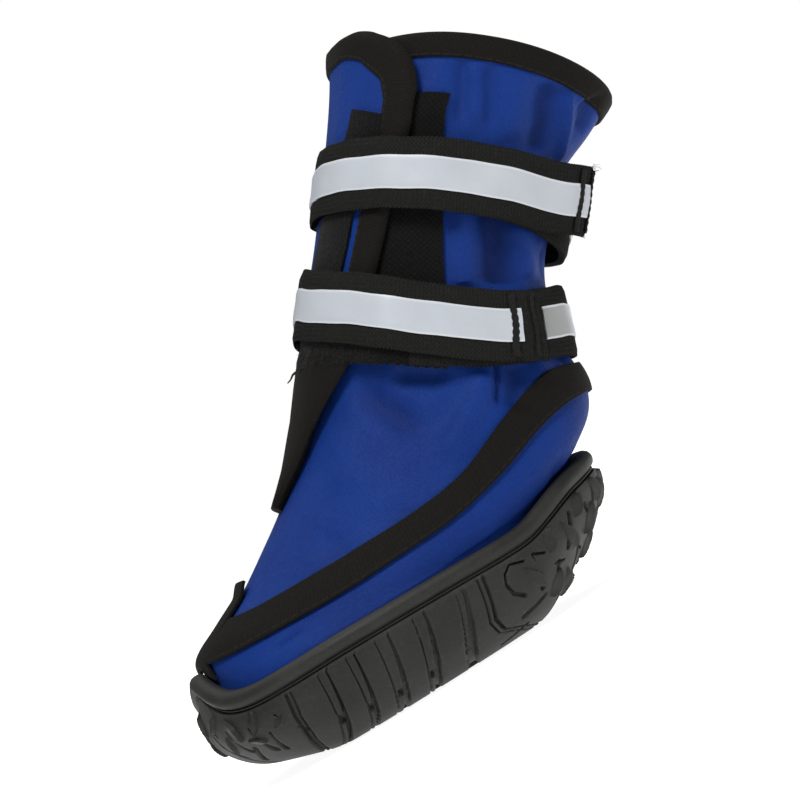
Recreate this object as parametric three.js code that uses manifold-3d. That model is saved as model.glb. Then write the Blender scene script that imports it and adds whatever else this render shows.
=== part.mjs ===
// A dog's boot: a moulded rubber cup sole, a cloth upper with a slit and an overlapping flap,
// bound edges, tapes over the seams, and two webbing straps with reflective tape.
// Millimetres. +X points to the toe, +Y to the boot's left side, +Z up, floor at Z = 0.
import * as THREE from 'three';
import { mergeVertices } from 'three/addons/utils/BufferGeometryUtils.js';
import Module from 'manifold-3d';

const wasm = await Module();
wasm.setup();

// Sole
const soleLength = 108;
const soleWidth = 84;
const toeRimHeight = 29.5;
const sideRimHeight = 22.2;
const heelRimHeight = 28;
const rimBand = 4.8;
const rimWidth = 4.2;
const rimProud = 1;
const rimGroove = 0.9;
const cupRadius = 10;
const floorThickness = 4.6;
const treadDepth = 1.3;
const barGroove = 1.7;
const lugLength = 7.5;
const lugHeight = 1.5;
const insoleThickness = 2.4;

// Upper
const bootHeight = 131.5;
const clothThickness = 1.8;
const flapThickness = 1.6;
const slitWidth = 0.9;
const flapSlack = 2;
const clearance = 0.3;

// Trims
const bindingWidth = 6;
const bindingThickness = 0.7;
const tapeThickness = 0.8;
const toeTapeWidth = 12;
const patchThickness = 0.6;
const strapWidth = 16;
const strapThickness = 1.5;
const strapSlack = 5;
const reflectiveWidth = 7.4;
const reflectiveThickness = 0.3;

// Shape of the sole's outline: how square it is, and how much fuller the toe is than the heel
const soleSquareness = 2.25;
const toeFullness = 0.05;

// The flat that the boot stands on, and the slopes beyond it, as shares of the sole's length
const flatFront = 0.25;
const flatBack = -0.19;
const toeSpring = 0.3;
const toeLean = 4;
const heelSpring = 0.38;
const springEase = 0.06;

// How far the rim has gone from its side height to its toe or heel height
const rimRows = [
  { angle: 0, toe: 1, heel: 0 },
  { angle: 12, toe: 0.52, heel: 0 },
  { angle: 22, toe: 0.19, heel: 0 },
  { angle: 34, toe: 0.02, heel: 0 },
  { angle: 50, toe: 0.01, heel: 0 },
  { angle: 66, toe: 0.05, heel: 0 },
  { angle: 82, toe: 0.04, heel: 0 },
  { angle: 96, toe: 0, heel: 0 },
  { angle: 108, toe: 0, heel: -0.05 },
  { angle: 116, toe: 0, heel: 0 },
  { angle: 124, toe: 0, heel: 0.26 },
  { angle: 131, toe: 0, heel: 0.5 },
  { angle: 139, toe: 0, heel: 0.7 },
  { angle: 150, toe: 0, heel: 0.83 },
  { angle: 162, toe: 0, heel: 0.93 },
  { angle: 180, toe: 0, heel: 1 },
];

// Where the bottom starts to turn up into the side, as a share of the half outline, and how tightly
const cornerRows = [
  { angle: 0, start: 0.75, squareness: 2.7 },
  { angle: 90, start: 0.42, squareness: 2.1 },
  { angle: 180, start: 0.52, squareness: 2 },
];

// The corner inside the cup, from its wall to its floor: in from the rim's inner edge, and up from
// the floor, as shares of the cup's radius
const cupCorner = [
  { in: 0.03, up: 0.76 },
  { in: 0.2, up: 0.42 },
  { in: 0.44, up: 0.19 },
  { in: 0.76, up: 0.06 },
  { in: 1.1, up: 0 },
];

// The upper's sections from the rim to the collar. Front and back are points on the centre line:
// x as a share of the sole's length, z of the boot's height. Width is half the width as a share
// of the sole's, lift raises the two sides, as a share of the boot's height.
const upperRows = [
  { frontX: 0.412, frontZ: 0.24, backX: -0.492, backZ: 0.233, width: 0.439, lift: -0.058 },
  { frontX: 0.343, frontZ: 0.27, backX: -0.54, backZ: 0.261, width: 0.436, lift: -0.052 },
  { frontX: 0.268, frontZ: 0.301, backX: -0.565, backZ: 0.292, width: 0.417, lift: -0.041 },
  { frontX: 0.185, frontZ: 0.345, backX: -0.573, backZ: 0.327, width: 0.39, lift: -0.027 },
  { frontX: 0.107, frontZ: 0.39, backX: -0.572, backZ: 0.357, width: 0.364, lift: -0.012 },
  { frontX: 0.033, frontZ: 0.442, backX: -0.568, backZ: 0.381, width: 0.347, lift: 0 },
  { frontX: -0.046, frontZ: 0.515, backX: -0.57, backZ: 0.41, width: 0.335, lift: 0.007 },
  { frontX: -0.114, frontZ: 0.587, backX: -0.588, backZ: 0.448, width: 0.327, lift: 0.009 },
  { frontX: -0.185, frontZ: 0.662, backX: -0.611, backZ: 0.491, width: 0.323, lift: 0.015 },
  { frontX: -0.254, frontZ: 0.73, backX: -0.643, backZ: 0.53, width: 0.323, lift: 0.024 },
  { frontX: -0.323, frontZ: 0.802, backX: -0.698, backZ: 0.578, width: 0.326, lift: 0.038 },
  { frontX: -0.388, frontZ: 0.871, backX: -0.763, backZ: 0.633, width: 0.331, lift: 0.05 },
  { frontX: -0.445, frontZ: 0.936, backX: -0.856, backZ: 0.667, width: 0.34, lift: 0.045 },
  { frontX: -0.489, frontZ: 0.993, backX: -0.933, backZ: 0.698, width: 0.352, lift: 0.04 },
];
const upperSquareness = 2.15;
const upperSteps = 40;
const cupRows = 3;
const collarRow = cupRows + upperRows.length - 1;
const throatRow = cupRows + 4;

// The flap, from the throat up: row of the upper, and the angles, from the front to the left, of the
// flap's root, of the edge that its binding reaches in to, and of its free edge
const slitAngle = -4;
const flapRows = [
  { row: throatRow - 0.1, root: -9, inner: -5, edge: 3 },
  { row: throatRow + 0.4, root: -12, inner: -6, edge: 9 },
  { row: throatRow + 1.2, root: -19, inner: -6, edge: 19 },
  { row: throatRow + 2, root: -25, inner: 2, edge: 33 },
  { row: throatRow + 2.8, root: -26, inner: 28, edge: 46 },
  { row: throatRow + 4, root: -26, inner: 41, edge: 54 },
  { row: throatRow + 5.5, root: -26, inner: 46, edge: 59 },
  { row: throatRow + 7, root: -26, inner: 50, edge: 63 },
  { row: throatRow + 8, root: -26, inner: 48, edge: 61 },
  { row: throatRow + 8.55, root: -26, inner: 41, edge: 54 },
  { row: collarRow - 0.15, root: -26, inner: 32, edge: 45 },
  { row: collarRow, root: -26, inner: 26, edge: 38 },
];

// How far the flap's round corner stands above the collar, in rows
const flapRise = 0.26;

// The space between the flap and the cloth below it, as a share of the flap's slack, by the angle
// from the flap's root
const flapLiftRows = [
  { past: 0, lift: -0.75 },
  { past: 14, lift: 0.25 },
  { past: 34, lift: 0.5 },
  { past: 48, lift: 0.8 },
  { past: 120, lift: 0.8 },
];

// The side tape's edges, from the toe to the back seam, as shares of the boot's height
const sideTapeRows = [
  { angle: 10, low: 0.229, high: 0.272 },
  { angle: 30, low: 0.223, high: 0.267 },
  { angle: 60, low: 0.219, high: 0.269 },
  { angle: 78, low: 0.224, high: 0.273 },
  { angle: 90, low: 0.23, high: 0.285 },
  { angle: 104, low: 0.253, high: 0.324 },
  { angle: 118, low: 0.281, high: 0.349 },
  { angle: 132, low: 0.294, high: 0.356 },
  { angle: 152, low: 0.295, high: 0.347 },
  { angle: 178.5, low: 0.291, high: 0.339 },
];

// Each strap: the row of the upper that its middle follows, by the angle travelled from the hidden
// start, once round to the free end, which lies over the start; and its space off the cloth, as a
// share of the straps' slack, by the angle on the boot. The free end stands away by its own share.
const straps = {
  upper: {
    start: 92,
    end: 360 + 156,
    middle: [
      { angle: 92, row: collarRow - 3.15 },
      { angle: 150, row: collarRow - 3.12 },
      { angle: 200, row: collarRow - 3.15 },
      { angle: 260, row: collarRow - 3.1 },
      { angle: 325, row: collarRow - 2.95 },
      { angle: 360, row: collarRow - 2.92 },
      { angle: 387, row: collarRow - 2.99 },
      { angle: 409, row: collarRow - 3.06 },
      { angle: 444, row: collarRow - 3.16 },
      { angle: 489, row: collarRow - 3.1 },
      { angle: 502, row: collarRow - 2.98 },
      { angle: 516, row: collarRow - 2.8 },
    ],
    space: [
      { angle: 0, space: 0.6 },
      { angle: 12, space: 0.78 },
      { angle: 25, space: 0.9 },
      { angle: 45, space: 0.94 },
      { angle: 64, space: 0.94 },
      { angle: 84, space: 0.62 },
      { angle: 100, space: 0.28 },
      { angle: 135, space: 0.42 },
      { angle: 180, space: 0.72 },
      { angle: 225, space: 0.4 },
      { angle: 262, space: 0.14 },
      { angle: 325, space: 0.14 },
      { angle: 344, space: 0.46 },
      { angle: 360, space: 0.6 },
    ],
    endSpace: 0.5,
    tape: { start: 164, end: 360 + 154 },
  },
  lower: {
    start: 74,
    end: 360 + 126,
    middle: [
      { angle: 74, row: collarRow - 6.3 },
      { angle: 85, row: collarRow - 6.45 },
      { angle: 100, row: collarRow - 6.7 },
      { angle: 125, row: collarRow - 6.88 },
      { angle: 150, row: collarRow - 6.82 },
      { angle: 180, row: collarRow - 6.72 },
      { angle: 225, row: collarRow - 6.6 },
      { angle: 270, row: collarRow - 6.2 },
      { angle: 325, row: collarRow - 5.4 },
      { angle: 360, row: collarRow - 5.2 },
      { angle: 390, row: collarRow - 5.42 },
      { angle: 413, row: collarRow - 5.67 },
      { angle: 445, row: collarRow - 6.24 },
      { angle: 460, row: collarRow - 6.55 },
      { angle: 475, row: collarRow - 6.82 },
      { angle: 486, row: collarRow - 6.98 },
    ],
    space: [
      { angle: 0, space: 0.66 },
      { angle: 12, space: 0.86 },
      { angle: 25, space: 0.96 },
      { angle: 45, space: 0.98 },
      { angle: 64, space: 0.98 },
      { angle: 84, space: 0.6 },
      { angle: 100, space: 0.36 },
      { angle: 135, space: 0.6 },
      { angle: 180, space: 0.56 },
      { angle: 225, space: 0.46 },
      { angle: 262, space: 0.22 },
      { angle: 325, space: 0.18 },
      { angle: 344, space: 0.5 },
      { angle: 360, space: 0.66 },
    ],
    endSpace: 0.1,
    tape: { start: 131, end: 360 + 120 },
  },
};

const radians = THREE.MathUtils.degToRad;
const mix = THREE.MathUtils.lerp;
const power = (value, exponent) => Math.sign(value) * Math.abs(value) ** exponent;

// Smooth value of one column of a table at a place between its rows
function read(rows, key, at, column) {
  let next = rows.findIndex((row) => row[key] > at);
  if (next === -1) next = rows.length - 1;
  const [a, b] = [rows[Math.max(next - 1, 0)], rows[next]];
  if (a === b) return a[column];
  const share = THREE.MathUtils.clamp((at - a[key]) / (b[key] - a[key]), 0, 1);
  const slope = (low, high) => (high[column] - low[column]) / (high[key] - low[key] || 1);
  const before = slope(rows[Math.max(next - 2, 0)], b) * (b[key] - a[key]);
  const after = slope(a, rows[Math.min(next + 1, rows.length - 1)]) * (b[key] - a[key]);
  const [s2, s3] = [share ** 2, share ** 3];
  return a[column] * (2 * s3 - 3 * s2 + 1) + before * (s3 - 2 * s2 + share)
    + b[column] * (3 * s2 - 2 * s3) + after * (s3 - s2);
}

// Angles are the same on both sides of the boot wherever a table runs from the toe to the heel
const halfTurn = (angle) => Math.abs(((angle + 180) % 360 + 360) % 360 - 180);

// A closed body from rings of points, joined last to first, or with a middle point at both ends
function ringBody(rings, poles) {
  const count = rings[0].length;
  const points = rings.flat();
  const faces = [];
  const joins = poles ? rings.length - 1 : rings.length;
  for (let i = 0; i < joins; i++) {
    const [low, high] = [i * count, ((i + 1) % rings.length) * count];
    for (let j = 0; j < count; j++) {
      const k = (j + 1) % count;
      faces.push(low + j, low + k, high + k, low + j, high + k, high + j);
    }
  }
  if (poles) {
    const [first, last] = [points.push(poles[0]) - 1, points.push(poles[1]) - 1];
    const top = (rings.length - 1) * count;
    for (let j = 0; j < count; j++) {
      const k = (j + 1) % count;
      faces.push(first, k, j, last, top + j, top + k);
    }
  }
  return solid(points, faces);
}

// A closed body from rings of points along an open path, with flat ends
function pathBody(rings) {
  const count = rings[0].length;
  const points = rings.flat();
  const faces = [];
  for (let i = 0; i < rings.length - 1; i++) {
    for (let j = 0; j < count; j++) {
      const [a, b] = [i * count + j, i * count + (j + 1) % count];
      faces.push(a, b, b + count, a, b + count, a + count);
    }
  }
  const flat = flatten(rings[0]);
  const end = (rings.length - 1) * count;
  for (const [a, b, c] of THREE.ShapeUtils.triangulateShape(flat, [])) {
    faces.push(a, c, b, end + a, end + b, end + c);
  }
  return solid(points, faces);
}

// A ring's points in its own plane, for the triangles of a flat end
function flatten(ring) {
  const normal = new THREE.Vector3();
  ring.forEach((point, i) => normal.add(point.clone().cross(ring[(i + 1) % ring.length])));
  const across = ring[1].clone().sub(ring[0]).normalize();
  const up = normal.normalize().clone().cross(across);
  return ring.map((point) => new THREE.Vector2(point.dot(across), point.dot(up)));
}

// A thin body between an inner and an outer sheet, each a grid over two parameters from 0 to 1
function sheetBody(columns, rows, pointAt) {
  const rings = [];
  for (let i = 0; i <= columns; i++) {
    const ring = [];
    for (let j = 0; j <= rows; j++) ring.push(pointAt(i / columns, j / rows, 1));
    for (let j = rows; j >= 0; j--) ring.push(pointAt(i / columns, j / rows, 0));
    rings.push(ring);
  }
  const count = rings[0].length;
  const points = rings.flat();
  const faces = [];
  for (let i = 0; i < columns; i++) {
    for (let j = 0; j < count; j++) {
      const [a, b] = [i * count + j, i * count + (j + 1) % count];
      faces.push(a, b, b + count, a, b + count, a + count);
    }
  }
  for (const [base, turned] of [[0, true], [columns * count, false]]) {
    for (let j = 0; j < rows; j++) {
      const [a, b, c, d] = [base + j, base + j + 1, base + count - 2 - j, base + count - 1 - j];
      faces.push(...(turned ? [a, c, b, a, d, c] : [a, b, c, a, c, d]));
    }
  }
  return solid(points, faces);
}

// A solid for joining and cutting, turned the right way out
function solid(points, faces) {
  let volume = 0;
  for (let i = 0; i < faces.length; i += 3) {
    const [a, b, c] = [0, 1, 2].map((k) => points[faces[i + k]]);
    volume += a.dot(b.clone().cross(c));
  }
  const triVerts = Uint32Array.from(faces);
  if (volume < 0) {
    for (let i = 0; i < triVerts.length; i += 3) {
      [triVerts[i + 1], triVerts[i + 2]] = [triVerts[i + 2], triVerts[i + 1]];
    }
  }
  const vertProperties = Float32Array.from(points.flatMap((point) => point.toArray()));
  return new wasm.Manifold(new wasm.Mesh({ numProp: 3, vertProperties, triVerts }));
}

// A solid from one of three's closed geometries
function fromGeometry(geometry) {
  const bare = geometry.clone();
  bare.deleteAttribute('normal');
  bare.deleteAttribute('uv');
  const merged = mergeVertices(bare, 1e-4);
  return new wasm.Manifold(new wasm.Mesh({
    numProp: 3,
    vertProperties: merged.attributes.position.array,
    triVerts: Uint32Array.from(merged.index.array),
  }));
}

function toMesh(name, body, material) {
  const { numProp, vertProperties, triVerts } = body.getMesh();
  const position = new Float32Array(vertProperties.length / numProp * 3);
  for (let i = 0; i < position.length / 3; i++) {
    for (let k = 0; k < 3; k++) position[i * 3 + k] = vertProperties[i * numProp + k];
  }
  const geometry = new THREE.BufferGeometry();
  geometry.setAttribute('position', new THREE.BufferAttribute(position, 3));
  geometry.setIndex(new THREE.BufferAttribute(Uint32Array.from(triVerts), 1));
  geometry.computeVertexNormals();
  const mesh = new THREE.Mesh(geometry, material);
  mesh.name = name;
  return mesh;
}

// Sole: outline, floor line, rim line
function outline(angle, inset) {
  const [c, s] = [Math.cos(radians(angle)), Math.sin(radians(angle))];
  return new THREE.Vector3(
    (soleLength / 2 - inset) * power(c, 2 / soleSquareness),
    (soleWidth / 2 - inset) * power(s, 2 / soleSquareness) * (1 + toeFullness * c),
    0,
  );
}

function floorLine(x) {
  const ease = springEase * soleLength;
  const ramp = (past, slope) => (past > ease ? slope * (past - ease / 2) : slope * past ** 2 / (2 * ease));
  if (x > flatFront * soleLength) return ramp(x - flatFront * soleLength, toeSpring);
  if (x < flatBack * soleLength) return ramp(flatBack * soleLength - x, heelSpring);
  return 0;
}

function rimTop(angle) {
  const place = halfTurn(angle);
  return sideRimHeight + (toeRimHeight - sideRimHeight) * read(rimRows, 'angle', place, 'toe')
    + (heelRimHeight - sideRimHeight) * read(rimRows, 'angle', place, 'heel');
}

const rimFoot = (angle) => rimTop(angle) - rimBand;

// The toe stands back a little toward its rim
function leaned(point, angle) {
  const front = Math.max(Math.cos(radians(angle)), 0) ** 3;
  point.x -= toeLean * front * THREE.MathUtils.smoothstep(point.z, toeRimHeight * 0.36, toeRimHeight);
  return point;
}

// The tread surface: share 0 is the middle of the bottom, 1 the foot of the rim
function treadPoint(angle, share, depth = 0) {
  const place = halfTurn(angle);
  const start = read(cornerRows, 'angle', place, 'start');
  const squareness = read(cornerRows, 'angle', place, 'squareness');
  const past = Math.max(0, (share - start) / (1 - start));
  const rise = 1 - (1 - past ** squareness) ** (1 / squareness);
  const point = outline(angle, rimProud + depth).multiplyScalar(share);
  point.z = mix(floorLine(point.x) + depth, rimFoot(angle), rise);
  return leaned(point, angle);
}

const soleSteps = 40;
const soleAngles = Array.from({ length: soleSteps }, (_, i) => (i + 0.5) * 360 / soleSteps);
const soleRing = (pointAt) => soleAngles.map(pointAt);

function rimPoint(angle, inset, z) {
  const point = outline(angle, inset);
  point.z = z;
  return leaned(point, angle);
}

function cupPoint(angle, inset, above) {
  const point = outline(angle, inset);
  point.z = floorLine(point.x) + floorThickness + above;
  return leaned(point, angle);
}

// The ring of the cup's floor where its flat middle begins
function floorPoint(angle, above) {
  const point = outline(angle, 0).multiplyScalar(0.5);
  point.z = floorLine(point.x) + floorThickness + above;
  return point;
}

const treadShares = [0.42, 0.58, 0.71, 0.82, 0.9, 0.96, 1];

function soleBody() {
  const rim = (inset, share, drop = 0) => soleRing((angle) => (
    rimPoint(angle, inset, mix(rimFoot(angle), rimTop(angle), share) - drop)));
  const cup = (inset, above) => soleRing((angle) => cupPoint(angle, inset, above));
  const rings = [
    ...treadShares.map((share) => soleRing((angle) => treadPoint(angle, share))),
    rim(rimProud + rimGroove, 0.08),
    rim(rimProud + rimGroove, 0.2),
    rim(rimProud * 0.25, 0.32),
    rim(0, 0.6),
    rim(rimProud * 0.5, 0.85),
    rim(rimWidth * 0.45, 1),
    rim(rimWidth * 0.85, 1, rimProud * 0.1),
    rim(rimWidth, 0.8),
    ...cupCorner.map((corner) => cup(rimWidth + cupRadius * corner.in, cupRadius * corner.up)),
    soleRing((angle) => floorPoint(angle, 0)),
  ];
  const middle = (z) => new THREE.Vector3(0, 0, z);
  return ringBody(rings, [middle(0), middle(floorThickness)]);
}

// The layer of the bottom and side that the tread's grooves are cut out of
function treadLayer() {
  const shell = (depth, top) => ringBody([
    ...treadShares.slice(0, -1).map((share) => soleRing((angle) => treadPoint(angle, share, depth))),
    soleRing((angle) => rimPoint(angle, rimProud + depth, rimFoot(angle) + top)),
  ], [new THREE.Vector3(0, 0, depth), new THREE.Vector3(0, 0, sideRimHeight + top)]);
  return shell(-1, -0.3).subtract(shell(treadDepth, 2));
}

// A straight-sided cutter or block from an outline seen from below
function prism(points) {
  const shape = new THREE.Shape(points.map(([x, y]) => new THREE.Vector2(x, y)));
  const geometry = new THREE.ExtrudeGeometry(shape, { depth: soleLength / 2, bevelEnabled: false });
  geometry.translate(0, 0, -soleLength / 10);
  return fromGeometry(geometry);
}

// A groove of one width along a curved line seen from below
function groovePrism(line, width) {
  const sides = [1, -1].map((side) => line.map((point, i) => {
    const [a, b] = [line[Math.max(i - 1, 0)], line[Math.min(i + 1, line.length - 1)]];
    const along = new THREE.Vector2(b[0] - a[0], b[1] - a[1]).normalize();
    return [point[0] - along.y * side * width / 2, point[1] + along.x * side * width / 2];
  }));
  return prism([...sides[0], ...sides[1].reverse()]);
}

// Lines of the tread, as shares of the sole's length and width
const barFront = 0.375;
const barBack = -0.135;
const barCount = 6;
const barSweep = 0.015;
const fieldWidth = 0.2;
const heelLine = [[-0.13, 0.52], [-0.15, 0.36], [-0.2, 0.2], [-0.225, 0], [-0.2, -0.2], [-0.15, -0.36], [-0.13, -0.52]];
const toeLine = [[0.4, 0.5], [0.36, 0.3], [0.305, 0.14], [0.29, 0], [0.305, -0.14], [0.36, -0.3], [0.4, -0.5]];
const pads = [
  { x: -0.03, y: 0, length: 0.125, width: 0.19, corners: 3 },
  { x: 0.065, y: 0.105, length: 0.07, width: 0.065, corners: 16 },
  { x: 0.125, y: 0.042, length: 0.075, width: 0.065, corners: 16 },
  { x: 0.125, y: -0.042, length: 0.075, width: 0.065, corners: 16 },
  { x: 0.065, y: -0.105, length: 0.07, width: 0.065, corners: 16 },
];
const heelLugs = [
  { angle: 117, share: 0.95, turn: -30 },
  { angle: 131, share: 0.86, turn: 40 },
  { angle: 141, share: 0.97, turn: -25 },
  { angle: 155, share: 0.87, turn: 30 },
  { angle: 166, share: 0.97, turn: -30 },
  { angle: 172, share: 0.8, turn: 15 },
];
const toeLugs = [
  { angle: 10, share: 0.96, turn: 35 },
  { angle: 30, share: 0.93, turn: -30 },
];

const inPlan = (points) => points.map(([x, y]) => [x * soleLength, y * soleWidth]);

// A pad seen from below: an oval, or with 3 corners a rounded triangle with its point to the toe
function padOutline(pad, grow) {
  const steps = 12;
  return Array.from({ length: steps }, (_, i) => {
    const angle = i * 2 * Math.PI / steps;
    const swell = pad.corners === 3 ? 1 + 0.12 * Math.cos(3 * angle) : 1;
    return [
      pad.x * soleLength + (pad.length * soleLength / 2 + grow) * swell * Math.cos(angle),
      pad.y * soleWidth + (pad.width * soleWidth / 2 + grow) * swell * Math.sin(angle),
    ];
  });
}

function treadGrooves() {
  const groove = barGroove;
  const fieldEdge = fieldWidth * soleWidth;
  const cutters = [heelLine, toeLine].map((line) => groovePrism(inPlan(line), groove));
  for (let i = 1; i < barCount; i++) {
    const x = mix(barFront, barBack, i / barCount) * soleLength;
    for (const side of [1, -1]) {
      const reach = [1.1, 0.8, 0.5].map((share) => share * soleWidth / 2);
      cutters.push(groovePrism(reach.map((y, k) => (
        [x * (1 - 0.05 * k) + barSweep * soleLength * (k % 2), y * side])), groove));
    }
  }
  for (const side of [1, -1]) {
    const along = [0.26, 0.14, 0, -0.1, -0.17].map((x) => (
      [x * soleLength, side * (fieldEdge * (1 - 4 * (x - 0.04) ** 2))]));
    cutters.push(groovePrism(along, groove));
  }
  for (const pad of pads) cutters.push(prism(padOutline(pad, groove * 0.7)).subtract(prism(padOutline(pad, 0))));
  return cutters.reduce((all, next) => all.add(next)).intersect(treadLayer());
}

// A wedge of rubber on the tread surface, pointed at one end and highest in its middle
function lugBody({ angle, share, turn }) {
  const at = treadPoint(angle, share);
  const along = treadPoint(angle, Math.min(share + 0.02, 1)).sub(treadPoint(angle, share - 0.02)).normalize();
  const beside = treadPoint(angle + 2, share).sub(treadPoint(angle - 2, share)).normalize();
  const out = beside.clone().cross(along).normalize();
  if (out.z > 0 || out.dot(at) < 0 && Math.abs(out.z) < 0.5) out.negate();
  const length = along.clone().multiplyScalar(Math.cos(radians(turn)))
    .addScaledVector(beside, Math.sin(radians(turn)));
  const width = length.clone().cross(out).normalize();
  const place = (l, w, h) => at.clone().addScaledVector(length, l * lugLength)
    .addScaledVector(width, w * lugLength).addScaledVector(out, h);
  const section = (l, w, h) => [
    place(l, -w, -lugHeight), place(l, w, -lugHeight), place(l, w * 0.7, h), place(l, -w * 0.7, h)];
  return pathBody([section(-0.55, 0.05, 0), section(0.2, 0.34, lugHeight), section(0.5, 0.34, 0.2)]);
}

function sole() {
  const both = (lugs) => lugs.flatMap((lug) => (
    [lug, { ...lug, angle: 360 - lug.angle, turn: -lug.turn }]));
  const raised = both([...heelLugs, ...toeLugs]).map(lugBody);
  const grooved = soleBody().subtract(treadGrooves());
  return raised.reduce((all, lug) => all.add(lug), grooved);
}

function insole() {
  const edge = rimWidth + cupRadius * 0.6;
  const lowest = clearance * 2;
  const [turned, flat] = cupCorner.slice(-2);
  const ring = (inset, above) => soleRing((angle) => cupPoint(angle, inset, above));
  const middle = (above) => new THREE.Vector3(0, 0, floorThickness + above);
  return ringBody([
    soleRing((angle) => floorPoint(angle, lowest)),
    ring(rimWidth + cupRadius * flat.in, lowest + cupRadius * flat.up),
    ring(rimWidth + cupRadius * turned.in, lowest + cupRadius * turned.up),
    ring(edge, lowest + cupRadius * turned.up * 2),
    ring(edge + cupRadius * 0.1, lowest + insoleThickness),
    soleRing((angle) => floorPoint(angle, lowest + insoleThickness)),
  ], [middle(lowest), middle(lowest + insoleThickness)]);
}

// The upper's outer face: row 0 is its edge inside the cup, the last row the collar
function upperControl(row, angle) {
  if (row < cupRows) {
    const inset = rimWidth + clearance * 2.5;
    const [high, low] = cupCorner;
    if (row === 0) return cupPoint(angle, inset + cupRadius * (low.in + 0.05), cupRadius * low.up);
    if (row === 1) return cupPoint(angle, inset + cupRadius * 0.05, cupRadius * high.up);
    return rimPoint(angle, inset, rimTop(angle) - clearance * 2);
  }
  const section = upperRows[row - cupRows];
  const [c, s] = [Math.cos(radians(angle)), Math.sin(radians(angle))];
  const place = (1 + power(c, 2 / upperSquareness)) / 2;
  return new THREE.Vector3(
    mix(section.backX, section.frontX, place) * soleLength,
    section.width * soleWidth * power(s, 2 / upperSquareness),
    (mix(section.backZ, section.frontZ, place) + section.lift * s * s) * bootHeight,
  );
}

function upperFace(row, angle) {
  const base = Math.min(Math.max(Math.floor(row), 0), collarRow - 1);
  const share = row - base;
  const [a, b] = [upperControl(base, angle), upperControl(base + 1, angle)];
  const before = base > 0 ? upperControl(base - 1, angle) : a.clone().multiplyScalar(2).sub(b);
  const after = base < collarRow - 1 ? upperControl(base + 2, angle) : b.clone().multiplyScalar(2).sub(a);
  const [s2, s3] = [share ** 2, share ** 3];
  const weights = [-s3 + 2 * s2 - share, 3 * s3 - 5 * s2 + 2, -3 * s3 + 4 * s2 + share, s3 - s2];
  return [before, a, b, after].reduce(
    (sum, point, i) => sum.addScaledVector(point, weights[i] / 2), new THREE.Vector3());
}

// The face's own directions at a point: up the row lines, round the boot, and out of the cloth
function directions(row, angle) {
  const up = upperFace(row + 0.02, angle).sub(upperFace(row - 0.02, angle));
  const round = upperFace(row, angle + 0.5).sub(upperFace(row, angle - 0.5));
  const out = round.clone().cross(up).normalize();
  return { speed: up.length() / 0.04, up: up.normalize(), round: round.normalize(), out };
}

function onUpper(row, angle, offset) {
  return upperFace(row, angle).addScaledVector(directions(row, angle).out, offset);
}

// The row at which the face reaches a height
function rowAtHeight(angle, height) {
  let [low, high] = [1, collarRow - 4];
  for (let i = 0; i < 24; i++) {
    const middle = (low + high) / 2;
    if (upperFace(middle, angle).z < height) low = middle;
    else high = middle;
  }
  return low;
}

const flapRoot = (row) => read(flapRows, 'row', row, 'root');
const bindingEdge = (row) => read(flapRows, 'row', row, 'inner');
const flapEdge = (row) => read(flapRows, 'row', row, 'edge');
const flapCrown = (row, angle) => flapRise * THREE.MathUtils.smoothstep(row, collarRow - 1, collarRow)
  * THREE.MathUtils.smoothstep(angle, -22, 4) * (1 - 0.6 * THREE.MathUtils.smoothstep(angle, 26, 44));
const onFlap = (row, angle, height) => onUpper(row + flapCrown(row, angle), angle,
  flapSlack * read(flapLiftRows, 'past', angle - flapRoot(row), 'lift') + height);

function upper() {
  const around = Array.from({ length: upperSteps }, (_, i) => (i + 0.5) * 360 / upperSteps);
  const rows = Array.from({ length: collarRow + 1 }, (_, row) => row);
  const ring = (row, offset) => around.map((angle) => onUpper(row, angle, offset));
  const tube = ringBody([
    ...rows.map((row) => ring(row, 0)),
    ...rows.toReversed().map((row) => ring(row, -clothThickness)),
  ]);
  const slit = sheetBody(1, 14, (u, v, side) => {
    const row = mix(throatRow + 0.5, collarRow + 0.4, v);
    const middle = onUpper(row, slitAngle, side ? 1 : -clothThickness - 1);
    return middle.addScaledVector(directions(row, slitAngle).round, (u - 0.5) * slitWidth);
  });
  const columns = flapColumns(collarRow).length - 1;
  const steps = flapSteps.length - 1;
  const flap = sheetBody(columns, steps, (u, v, side) => {
    const row = flapSteps[Math.round(v * steps)];
    const angle = flapColumns(row)[Math.round(u * columns)];
    return onFlap(row, angle, side * flapThickness);
  });
  return tube.subtract(slit).add(flap);
}

// The flap's rows, closer together where its corner is round
const flapSteps = [
  ...Array.from({ length: 13 }, (_, i) => mix(throatRow - 0.1, collarRow - 0.8, i / 12)),
  collarRow - 0.55, collarRow - 0.35, collarRow - 0.2, collarRow - 0.1, collarRow,
];

// The flap's angles at a row, from its root to its free edge
function flapColumns(row) {
  const [root, inner, edge] = [flapRoot(row), bindingEdge(row), flapEdge(row)];
  return [root, mix(root, inner, 0.25), mix(root, inner, 0.5), mix(root, inner, 0.75), inner,
    mix(inner, edge, 0.5), edge];
}

// Folded tape over the collar's edge, from under the flap round to the flap's root
function collarBinding() {
  const [inner, outer] = [-clothThickness - clearance, clearance];
  const steps = 34;
  const rings = Array.from({ length: steps + 1 }, (_, i) => {
    const angle = mix(27, 359 + flapRoot(collarRow), i / steps);
    const at = (offset, above) => onUpper(collarRow + above / directions(collarRow, angle).speed, angle, offset);
    return [
      at(outer, -bindingWidth), at(outer + bindingThickness, -bindingWidth),
      at(outer + bindingThickness, clearance + bindingThickness),
      at(inner - bindingThickness, clearance + bindingThickness),
      at(inner - bindingThickness, -bindingWidth), at(inner, -bindingWidth), at(inner, clearance),
      at(outer, clearance),
    ];
  });
  return pathBody(rings);
}

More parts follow.
